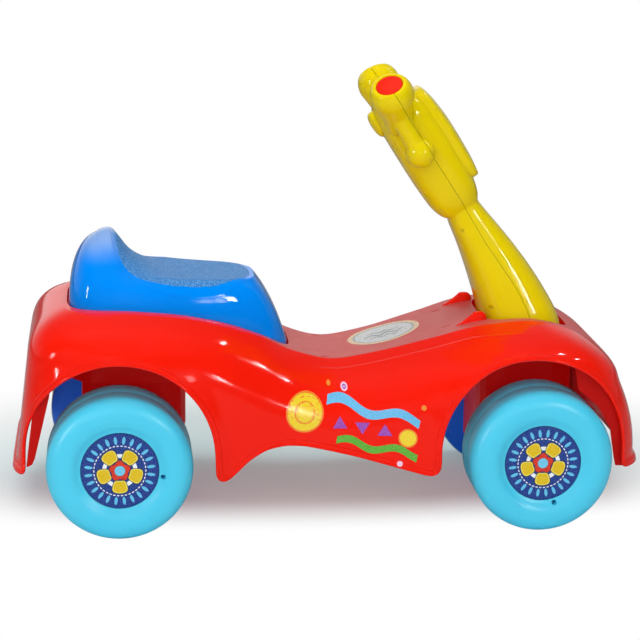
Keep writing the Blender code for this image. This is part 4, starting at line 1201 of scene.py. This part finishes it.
def buildSeat(blue):
    seat = seatShape
    lid = seatForm("seat", 0.0, 0.0, 120, 16, 26, seat["shares"])
    cut(lid, seatForm("seat_inside", seat["wall"], 0.030, 50, 6, 10, (0.75, 0.45)))
    hinge = (station(seat["hinge"][0]), 0.0, seat["hinge"][1])
    for name, side in hands:
        ear = [(y, seat["earR"]) for y in seat["earY"]]
        join(lid, turnedPiece("ear", ear, hinge, (0, side, 0), 32))
    cut(lid, turnedPiece("pin", [(y, seat["pinHoleR"]) for y in (-0.075, 0.075)], hinge, (0, 1, 0), 24))
    dress(lid, blue, 38.0)
    panel = []
    tree = panelTree()
    for vertex in lid.data.vertices:
        x, y, z = vertex.co
        panel.append(panelDistance(tree, x - place["rearAxleX"], y) if z > 0.230 else -0.02)
    addAttribute(lid, "panel", panel)
    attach(lid, "seat")
    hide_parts("seat_lid")
    print("stage: seat finished")


# Wheels
wheelShape = {
    "r": 0.075,
    "outerY": 0.155,
    "innerY": 0.0805,
    "capR": 0.0398,
    "capSeatY": 0.1465,
    "boreR": 0.0043,
    "recess": (0.1300, 0.0140),
    "innerRound": 0.012,
    "outerRound": (0.0165, 0.0170),
    "partLine": ((-0.0012, 0.0), (-0.0005, 0.0002), (0.0, 0.0005), (0.0005, 0.0002), (0.0012, 0.0)),
    "face": ((0.0550, 0.1550), (0.0520, 0.1547), (0.0490, 0.1538), (0.0465, 0.1525), (0.0445, 0.1511),
             (0.0428, 0.1500), (0.0415, 0.14935), (0.0404, 0.1490)),
    "vent": (0.0442, 0.140, 0.020, 0.0026),
    "ventAngles": {"rear": math.radians(-8.6), "front": math.radians(-73.0)},
    "plug": (0.1410, 0.0135),
    "capFaceY": 0.1490,
    "capRound": 0.0006,
    "steps": 128,
}


# From the bore over the inner face, tread and crest to the flat round the printed disc
def wheelProfile():
    w = wheelShape
    outer = w["outerY"]
    inner = w["innerY"]
    r = w["r"]
    soft = w["innerRound"]
    profile = [(inner, w["boreR"]), (inner, 0.030), (inner, r - soft - 0.0005)]
    profile += [(inner + soft * c, r - soft * (1.0 - s)) for c, s in quarter(10)]
    middle = 0.5 * (inner + outer) - 0.001
    profile += [(middle + along, r - dip) for along, dip in w["partLine"]]
    wide, deep = w["outerRound"]
    profile += [(outer - wide * (1.0 - s), r - deep * c) for c, s in quarter(16, 0)]
    profile += [(along, radius) for radius, along in w["face"]]
    edge = w["capR"] + 0.0003
    depth, radius = w["recess"]
    profile += [(w["capFaceY"] - 0.00015, edge), (w["capSeatY"], edge), (w["capSeatY"], radius)]
    return profile + [(depth, radius), (depth, w["boreR"])]


def buildWheel(name, x, side, cyan, ventAngle):
    w = wheelShape
    centre = Vector((x, 0.0, place["axleZ"]))
    wheel = turnedPiece("tyre_" + name, wheelProfile(), centre, (0, side, 0), w["steps"], True)
    out, y, depth, radius = w["vent"]
    vent = centre + Vector((out * math.cos(ventAngle), side * y, out * math.sin(ventAngle)))
    cut(wheel, turnedPiece("vent", ((0.0, radius), (depth, radius)), vent, (0, side, 0), 20))
    dress(wheel, cyan, 40.0)
    edge = w["innerY"] + 0.0075
    addAttribute(wheel, "inner", [1.0 if abs(v.co.y) < edge else 0.0 for v in wheel.data.vertices])
    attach(wheel, "wheel_" + name)
    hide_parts("wheel_" + name)


def buildCap(name, x, side, film):
    w = wheelShape
    r = w["capR"]
    soft = w["capRound"]
    face = w["capFaceY"]
    seat = w["capSeatY"] + 0.0003
    profile = [w["plug"], (seat, w["plug"][1]), (seat, r)]
    profile += [(face - soft + soft * s, r - soft * c) for c, s in quarter(4, 0)]
    profile += [(face, radius) for radius in (0.036, 0.024, 0.012, 0.004)]
    centre = Vector((x, 0.0, place["axleZ"]))
    cap = dress(turnedPiece("disc_" + name, profile, centre, (0, side, 0), w["steps"]), film, 40.0)
    addAttribute(cap, "disc", [((v.co.x - x) / r * -side, (v.co.z - place["axleZ"]) / r, 0.0)
                               for v in cap.data.vertices], 'FLOAT_VECTOR')
    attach(cap, "wheel_" + name)
    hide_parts("wheel_cap_" + name)


# Column and head
columnShape = {
    "slices": ((0.1885, 0.3927, 0.4790, 0.0560), (0.2050, 0.3902, 0.4740, 0.0545),
               (0.2300, 0.3827, 0.4605, 0.0475), (0.2550, 0.3742, 0.4440, 0.0405),
               (0.2800, 0.3647, 0.4250, 0.0335), (0.3020, 0.3552, 0.4065, 0.0275),
               (0.3180, 0.3500, 0.3924, 0.0240), (0.3380, 0.3425, 0.3765, 0.0220)),
    "cornerPower": 2.9,
    "hole": (0.3880, 0.4812, 0.0575),
    "parting": ((0.3867, 0.2898), (0.4074, 0.2603), (0.4256, 0.2324), (0.4369, 0.2061), (0.4480, 0.1600)),
    "partingUps": (0.2200, 0.0187),
    "marks": ((0.3660, 0.2970, 0.0026), (0.3965, 0.2163, 0.0030)),
    "seam": 0.0005,
    "voxel": 0.0011,
    "relaxRounds": 9,
}


headShape = {
    "slices": ((0.0000, -0.0120, 0.0100, 0.0130), (0.0050, -0.0190, 0.0150, 0.0200),
               (0.0140, -0.0265, 0.0210, 0.0265), (0.0300, -0.0305, 0.0255, 0.0315),
               (0.0600, -0.0315, 0.0290, 0.0350), (0.0950, -0.0310, 0.0300, 0.0375),
               (0.1250, -0.0300, 0.0280, 0.0390), (0.1430, -0.0280, 0.0235, 0.0360),
               (0.1530, -0.0225, 0.0160, 0.0290), (0.1580, -0.0120, 0.0060, 0.0160)),
    "top": 0.158,
    "hornCentre": (0.1605, -0.0015, 0.0525),
    "hornAim": (0.82, 0.19, 0.54),
    "hornNeck": ((-0.0450, 0.0150), (-0.0320, 0.0160), (-0.0250, 0.0172), (-0.0180, 0.0190)),
    "bulbR": 0.0230,
    "hornEnd": 0.0146,
    "knobCentre": (0.0916, -0.0095, 0.0450),
    "knobR": 0.0155,
    "ridgeTop": (0.1500, -0.0060, 0.0460),
    "ridge": ((0.25, 0.0102), (0.5, 0.0100), (0.75, 0.0105), (1.0, 0.0112)),
    "screws": ((0.108, -0.026), (0.046, -0.026)),
    "screwR": 0.0016,
    "buttonR": 0.0138,
    "stemR": 0.0050,
    "pocketDepth": 0.0065,
    "travel": 0.0025,
    "clear": 0.0004,
    "hornButtonA": 0.1340,
    "hornButtonR": 0.0150,
    "plateProud": 0.0070,
    "plateLow": 0.0300,
    "plateHigh": 0.1440,
    "plateHalf": 0.0290,
    "plateRound": 0.0022,
    "plateGrow": 0.0030,
}


# Places on the head: up along its lean, front across the lean, and across to the side
def headPoint(up, front, across):
    lean = (-math.sin(place["lean"]), math.cos(place["lean"]))
    x = station(place["neck"][0] + up * lean[0] + front * lean[1])
    return Vector((x, across, place["neck"][1] + up * lean[1] - front * lean[0]))


def headDirection(up, front, across):
    return (headPoint(up, front, across) - headPoint(0.0, 0.0, 0.0)).normalized()


def sliceLine(slices, column):
    return tuple((row[0], row[column]) for row in slices)


# Rear, front and half width of the head at one height
def headSlice(up):
    return [smoothLine(sliceLine(headShape["slices"], k), up) for k in (1, 2, 3)]


# One ring of a tapering form from its rear, front and half width
def sliceRing(rear, front, half, toPoint):
    middle = 0.5 * (rear + front)
    reach = 0.5 * (front - rear)
    directions = planDirections(28, 10, columnShape["cornerPower"])
    return [toPoint(middle + reach * s, w * half) for s, w in directions]


def headForm(name):
    rings = []
    for i in range(57):
        up = headShape["top"] * 0.5 * (1.0 - math.cos(math.pi * i / 56))
        rings.append(sliceRing(*headSlice(up), partial(headPoint, up)))
    return ringPiece(name, rings, True, ladderFloor=True)


def columnForm(name):
    rings = []
    slices = columnShape["slices"]
    for i in range(41):
        z = mix(slices[0][0], slices[-1][0], i / 40)
        sizes = [softLine(sliceLine(slices, k), z, 0.006) for k in (1, 2, 3)]
        rings.append(sliceRing(*sizes, lambda x, y: Vector((station(x), y, z))))
    return ringPiece(name, rings, True, ladderFloor=True)


def hornCentre(side):
    a, c, y = headShape["hornCentre"]
    return headPoint(a, c, side * y)


def hornAim(side):
    a, c, y = headShape["hornAim"]
    return headDirection(a, c, side * y)


def hornForm(side):
    h = headShape
    profile = list(h["hornNeck"])
    for i in range(25):
        along = mix(-0.0080, h["hornEnd"] - 0.0004, i / 24)
        profile.append((along, math.sqrt(h["bulbR"] ** 2 - along * along)))
    end = math.sqrt(h["bulbR"] ** 2 - h["hornEnd"] ** 2)
    profile.append((h["hornEnd"], end - 0.0006))
    return turnedPiece("horn", profile, hornCentre(side), hornAim(side), 64)


def knobForm(side):
    a, c, y = headShape["knobCentre"]
    radius = headShape["knobR"]
    profile = []
    for i in range(31):
        angle = math.pi * (0.03 + 0.94 * i / 30)
        profile.append((-radius * math.cos(angle), radius * math.sin(angle)))
    return turnedPiece("knob", profile, headPoint(a, c, side * y), headDirection(0.05, 0.02, side), 48)


# Rounded ridge from the knob up to the horn
def ridgeForm(side):
    a, c, y = headShape["knobCentre"]
    low = headPoint(a, c, side * y)
    a, c, y = headShape["ridgeTop"]
    top = headPoint(a, c, side * y)
    length = (top - low).length
    profile = [(0.0030, 0.0108)] + [(share * length, radius) for share, radius in headShape["ridge"]]
    return turnedPiece("ridge", profile, low, top - low, 40)


# Line in side view where the two halves meet, moved along x by shift
def partingLine(shift):
    line = []
    for up in columnShape["partingUps"]:
        point = headPoint(up, 0.0, 0.0)
        line.append((point.x + shift, point.z))
    curve = columnShape["parting"]
    flipped = tuple(sorted((-q, p) for p, q in curve))
    for k in range(25):
        z = mix(curve[0][1], curve[-1][1], k / 24)
        line.append((station(softLine(flipped, -z, 0.006)) + shift, z))
    return line


def buildColumn(yellow):
    h = headShape
    form = columnForm("yellow")
    parts = [form, headForm("head")]
    for name, side in hands:
        parts += [hornForm(side), knobForm(side), ridgeForm(side)]
    makeActive(form)
    for part in parts:
        part.select_set(True)
    bpy.ops.object.join()
    remesh = form.modifiers.new("remesh", 'REMESH')
    remesh.mode = 'VOXEL'
    remesh.voxel_size = columnShape["voxel"]
    even = form.modifiers.new("smooth", 'SMOOTH')
    even.factor = 0.5
    even.iterations = columnShape["relaxRounds"]
    applyAll(form)
    print("stage: column remeshed", len(form.data.polygons), "faces")
    bore = [(along, h["hornButtonR"] + h["clear"]) for along in (0.0, 0.040)]
    centre = headPoint(h["hornButtonA"], -0.0180, 0.0)
    cut(form, turnedPiece("bore", bore, centre, headDirection(0, -1, 0), 64))
    end = h["hornEnd"]
    base = end - h["pocketDepth"]
    rim = h["buttonR"] + h["clear"]
    # a well for the button's stem, the pocket and its rounded mouth
    pocket = ((base - h["travel"] - 0.0006, h["stemR"]), (base, h["stemR"]), (base, rim), (end - 0.0008, rim),
              (end - 0.0002, rim + 0.0005), (end + 0.0010, rim + 0.0026), (end + 0.004, rim + 0.0026))
    for name, side in hands:
        cut(form, turnedPiece("pocket", pocket, hornCentre(side), hornAim(side), 64))
        for a, c in h["screws"]:
            screw = ((-0.02, h["screwR"]), (0.02, h["screwR"]))
            aim = headDirection(0.0, -1.0, side * 0.5)
            cut(form, turnedPiece("screw", screw, headPoint(a, c, side * 0.020), aim, 16))
    rear = form.copy()
    rear.data = form.data.copy()
    bpy.context.scene.collection.objects.link(rear)
    gap = 0.5 * columnShape["seam"]
    behind = partingLine(-gap) + [(station(0.20), 0.160), (station(0.10), 0.550)]
    ahead = partingLine(gap) + [(station(0.65), 0.160), (station(0.65), 0.550)]
    keepCommon(rear, sidePrism("behind", behind, -0.15, 0.15), 0.1, 0.9)
    keepCommon(form, sidePrism("ahead", ahead, -0.15, 0.15), 0.1, 0.9)
    print("stage: column parted", measure(rear)[0], measure(form)[0])
    for piece, name in ((rear, "column_rear"), (form, "column_front")):
        piece.name = name
        dress(piece, yellow, 40.0)
        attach(piece, "root")
        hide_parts(name + "_half")
    print("stage: column finished")


# Plate on the front of the head: a rim, a rounded edge and a crowned face
def buildPlate(yellow):
    h = headShape
    middleUp = 0.5 * (h["plateLow"] + h["plateHigh"])
    reachUp = 0.5 * (h["plateHigh"] - h["plateLow"])
    power = columnShape["cornerPower"]
    roundR = h["plateRound"]
    directions = planDirections(40, 20, 4.0)

    # front of the head at this place, with the section a little longer and wider
    def surface(up, across, proud, grow):
        rear, front, half = headSlice(up)
        front += proud
        share = min(0.999, abs(across) / (half + grow))
        return 0.5 * (rear + front) + 0.5 * (front - rear) * (1.0 - share ** power) ** (1.0 / power)

    def rim(inset, proud, grow, rise):
        ring = []
        for s, w in directions:
            up = middleUp + (reachUp - inset) * s
            across = (h["plateHalf"] - inset) * w * (1.0 + 0.10 * s)
            ring.append(headPoint(up, surface(up, across, proud, grow) + rise, across))
        return ring

    rims = [(roundR * c, roundR * s) for c, s in quarter(6, 0)]
    rims += [(deeper, roundR) for deeper in (0.0030, 0.0060, 0.0100, 0.0150, 0.0210, 0.0260)]
    rings = [rim(0.0, 0.0003, 0.0, -0.0002)]
    rings += [rim(inset, h["plateProud"], h["plateGrow"], rise - roundR) for inset, rise in rims]
    plate = dress(ringPiece("plate", rings, True, ladderFloor=True), yellow, 50.0)
    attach(plate, "root")
    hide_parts("face_plate")


# Flat red buttons in the ends of the horns, and the domed horn button on the rider's side
def buildButtons(red, yellow):
    h = headShape
    low = h["hornEnd"] - h["pocketDepth"]
    rest = low + h["travel"] + 0.0003
    top = rest + 0.0035
    r = h["buttonR"]
    flat = r - 0.0008
    profile = [(low + 0.0002, 0.0045), (rest, 0.0045), (rest, r)]
    profile += [(top - 0.0006 + 0.0006 * s, r - 0.0008 * c) for c, s in quarter(5)]
    for i in range(1, 9):
        share = 1.0 - i / 8.5
        profile.append((top + 0.0015 * (1.0 - share * share), flat * share))
    for name, side in hands:
        button = turnedPiece("button_" + name, profile, hornCentre(side), hornAim(side), 64)
        dress(button, red, 50.0)
        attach(button, "button_" + name)
        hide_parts("end_button_" + name)
    r = h["hornButtonR"]
    profile = [(0.0, 0.0140), (0.0015, 0.0140), (0.0015, r), (0.0125, r)]
    for i in range(1, 12):
        angle = 0.5 * math.pi * i / 12
        profile.append((0.0125 + 0.0061 * math.sin(angle), r * math.cos(angle) ** 0.8))
    centre = headPoint(h["hornButtonA"], -0.0170, 0.0)
    horn = dress(turnedPiece("horn_dome", profile, centre, headDirection(0, -1, 0), 64), yellow, 50.0)
    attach(horn, "horn")
    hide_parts("horn_button")


# Prints: thin patches that follow the skin, each motif a closed outline in side view
def patchPiece(name, outline, skin, side, ink, lift):
    work = bmesh.new()
    work.faces.new([work.verts.new((x, 0.0, z)) for x, z in outline])
    bmesh.ops.triangulate(work, faces=work.faces)
    for _ in range(4):
        long = [e for e in work.edges if e.calc_length() > 0.006]
        if not long:
            break
        bmesh.ops.subdivide_edges(work, edges=long, cuts=1)
        bmesh.ops.triangulate(work, faces=[f for f in work.faces if len(f.verts) > 3])
    for vertex in work.verts:
        start = Vector((vertex.co.x, side * 0.30, vertex.co.z))
        hit, normal = skin.ray_cast(start, Vector((0, -side, 0)))[:2]
        if hit is not None:
            vertex.co = hit + normal * lift
    bmesh.ops.recalc_face_normals(work, faces=work.faces)
    mesh = bpy.data.meshes.new(name)
    work.to_mesh(mesh)
    work.free()
    piece = bpy.data.objects.new(name, mesh)
    bpy.context.scene.collection.objects.link(piece)
    if side * sum(p.normal.y * p.area for p in mesh.polygons) < 0.0:
        mesh.flip_normals()
    mesh.materials.append(ink)
    mesh.shade_smooth()
    return piece


def roundOutline(x, z, r):
    return [(x + r * c, z + r * s) for c, s in circle(40)]


def waveOutline(x0, z0, x1, z1, width, swing, turns):
    run = Vector((x1 - x0, z1 - z0))
    across = Vector((-run.y, run.x)).normalized()
    upper = []
    lower = []
    for i in range(41):
        t = i / 40
        at = Vector((x0, z0)) + run * t + across * (swing * math.sin(2 * math.pi * turns * t))
        upper.append(tuple(at + across * (0.5 * width)))
        lower.append(tuple(at - across * (0.5 * width)))
    return upper + list(reversed(lower))


# Motifs from the lowest layer up: a disc has a middle and a radius, a wave two ends, a width, a swing
# and its turns, and a triangle three corners
printShape = {
    "lift": 0.00008,
    "layer": 0.00004,
    "motifs": (("orange", "disc", (0.1900, 0.1265, 0.0198)), ("yellow", "disc", (0.1900, 0.1265, 0.0180)),
               ("orange", "disc", (0.1900, 0.1265, 0.0112)), ("yellow", "disc", (0.1900, 0.1265, 0.0092)),
               ("blue", "wave", (0.2140, 0.1370, 0.3080, 0.1180, 0.0088, 0.0042, 1.6)),
               ("green", "wave", (0.2230, 0.0980, 0.3060, 0.0830, 0.0078, 0.0034, 1.7)),
               ("purple", "triangle", ((0.2190, 0.1100), (0.2340, 0.1100), (0.2265, 0.1220))),
               ("purple", "triangle", ((0.2420, 0.1160), (0.2570, 0.1160), (0.2495, 0.1040))),
               ("purple", "triangle", ((0.2650, 0.1030), (0.2800, 0.1030), (0.2725, 0.1150))),
               ("orange", "disc", (0.2960, 0.1010, 0.0098)), ("yellow", "disc", (0.2960, 0.1010, 0.0082)),
               ("pink", "disc", (0.2330, 0.1470, 0.0036)), ("purple", "disc", (0.2330, 0.1470, 0.0020)),
               ("orange", "disc", (0.3120, 0.1330, 0.0026)), ("orange", "disc", (0.2170, 0.1500, 0.0022)),
               ("pink", "disc", (0.2880, 0.0740, 0.0030))),
}


def buildPrints(skin, inks):
    outlines = {"disc": roundOutline, "wave": waveOutline, "triangle": lambda *corners: corners}
    for name, side in hands:
        pieces = []
        for layer, (ink, kind, sizes) in enumerate(printShape["motifs"]):
            moved = [(station(x), z) for x, z in outlines[kind](*sizes)]
            lift = printShape["lift"] + printShape["layer"] * layer
            pieces.append(patchPiece("print", moved, skin, side, inks[ink], lift))
        makeActive(pieces[0])
        for piece in pieces:
            piece.select_set(True)
        bpy.ops.object.join()
        made = bpy.context.active_object
        made.name = "side_print_" + name
        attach(made, "root")


# Oval badge on the deck: middle, radii, shares of its rings, and for each wavy strip its place, reach,
# sway and half width
badgeShape = {
    "middle": (0.2878, 0.0080),
    "radii": (0.0390, 0.0365),
    "shares": (1.0, 0.86, 0.80, 0.5, 0.2),
    "lift": 0.00012,
    "strips": ((0.0150, 0.0170, 0.0022, 0.0012), (0.0060, 0.0225, 0.0030, 0.0016),
               (-0.0030, 0.0160, 0.0022, 0.0012)),
    "stripLift": 0.00024,
}


def buildBadge(inks):
    midX, midY = badgeShape["middle"]
    long, wide = badgeShape["radii"]
    shares = badgeShape["shares"]
    rings = []
    for share in shares:
        oval = [(station(midX + long * share * c), midY + wide * share * s) for c, s in circle(72)]
        rings.append([(x, y, deckHeight(x) + badgeShape["lift"]) for x, y in oval])
    piece = ringPiece("deck_badge", rings, True)
    work = bmesh.new()
    work.from_mesh(piece.data)
    low = [f for f in work.faces if len(f.verts) > 4]
    bmesh.ops.delete(work, geom=low, context='FACES_ONLY')
    for face in work.faces:
        centre = face.calc_center_median()
        share = math.hypot((centre.x - station(midX)) / long, (centre.y - midY) / wide)
        face.material_index = 0 if share > shares[1] else (1 if share > shares[2] else 2)
        if face.normal.z < 0.0:
            face.normal_flip()
    work.to_mesh(piece.data)
    work.free()
    for ink in ("peach", "sage", "silver"):
        piece.data.materials.append(inks[ink])
    piece.data.shade_smooth()
    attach(piece, "root")


# Three wavy strips on the badge
def buildBadgeMotif(ink):
    vertices = []
    faces = []
    for y0, reach, sway, half in badgeShape["strips"]:
        for i in range(25):
            s = -1.0 + i / 12.0
            x = station(badgeShape["middle"][0]) + reach * s
            y = y0 + sway * math.sin(2.6 * math.pi * s)
            thick = half * math.sqrt(max(0.02, 1.0 - s * s))
            for edge in (-thick, thick):
                vertices.append((x, y + edge, deckHeight(x) + badgeShape["stripLift"]))
            if i:
                k = len(vertices)
                faces.append((k - 4, k - 2, k - 1, k - 3))
    piece = newPiece("badge_motif", vertices, faces)
    piece.data.materials.append(ink)
    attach(piece, "root")


inkColours = {
    "blue": "#62b9e8",
    "green": "#5cae2a",
    "yellow": "#f2d21c",
    "orange": "#f08a1e",
    "purple": "#9a45b4",
    "pink": "#f2c6e0",
    "peach": "#e2bd8e",
    "sage": "#93a09a",
    "silver": "#c9ccce",
    "slate": "#5f6d74",
}

buildCamera()
buildStudio()
print("stage: camera, floor and light")
red = bodyMaterial()
innerRed = innerMaterial()
skin = buildBody(red, innerRed)
buildSeat(seatMaterial())
cyan = wheelMaterial()
film = rosetteMaterial()
for end, x in (("rear", place["rearAxleX"]), ("front", place["rearAxleX"] + place["wheelbase"])):
    for hand, side in hands:
        buildWheel(end + "_" + hand, x, side, cyan, wheelShape["ventAngles"][end])
        buildCap(end + "_" + hand, x, side, film)
print("stage: wheels finished")
yellow = columnMaterial()
# small hard mouldings, a little duller than the body
buttonRed = mouldedPlastic("moulded_polystyrene_red", "#f02208", "#e41c08", 0.18)[0]
buildColumn(yellow)
buildPlate(yellow)
buildButtons(buttonRed, yellow)
inks = {name: inkMaterial("printed_film_" + name, colour) for name, colour in inkColours.items()}
buildPrints(skin, inks)
buildBadge(inks)
buildBadgeMotif(inks["slate"])
print("stage: prints finished")
steel = steelMaterial()
# the bin and housing take the inner red with its painted shade and glow
for node in ("storage_bin", "front_housing"):
    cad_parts[node].data.materials.clear()
    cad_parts[node].data.materials.append(innerRed)
for name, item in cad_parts.items():
    if "axle" in name or "push_nut" in name or "washer" in name or "pin" in name:
        item.data.materials.clear()
        item.data.materials.append(steel)
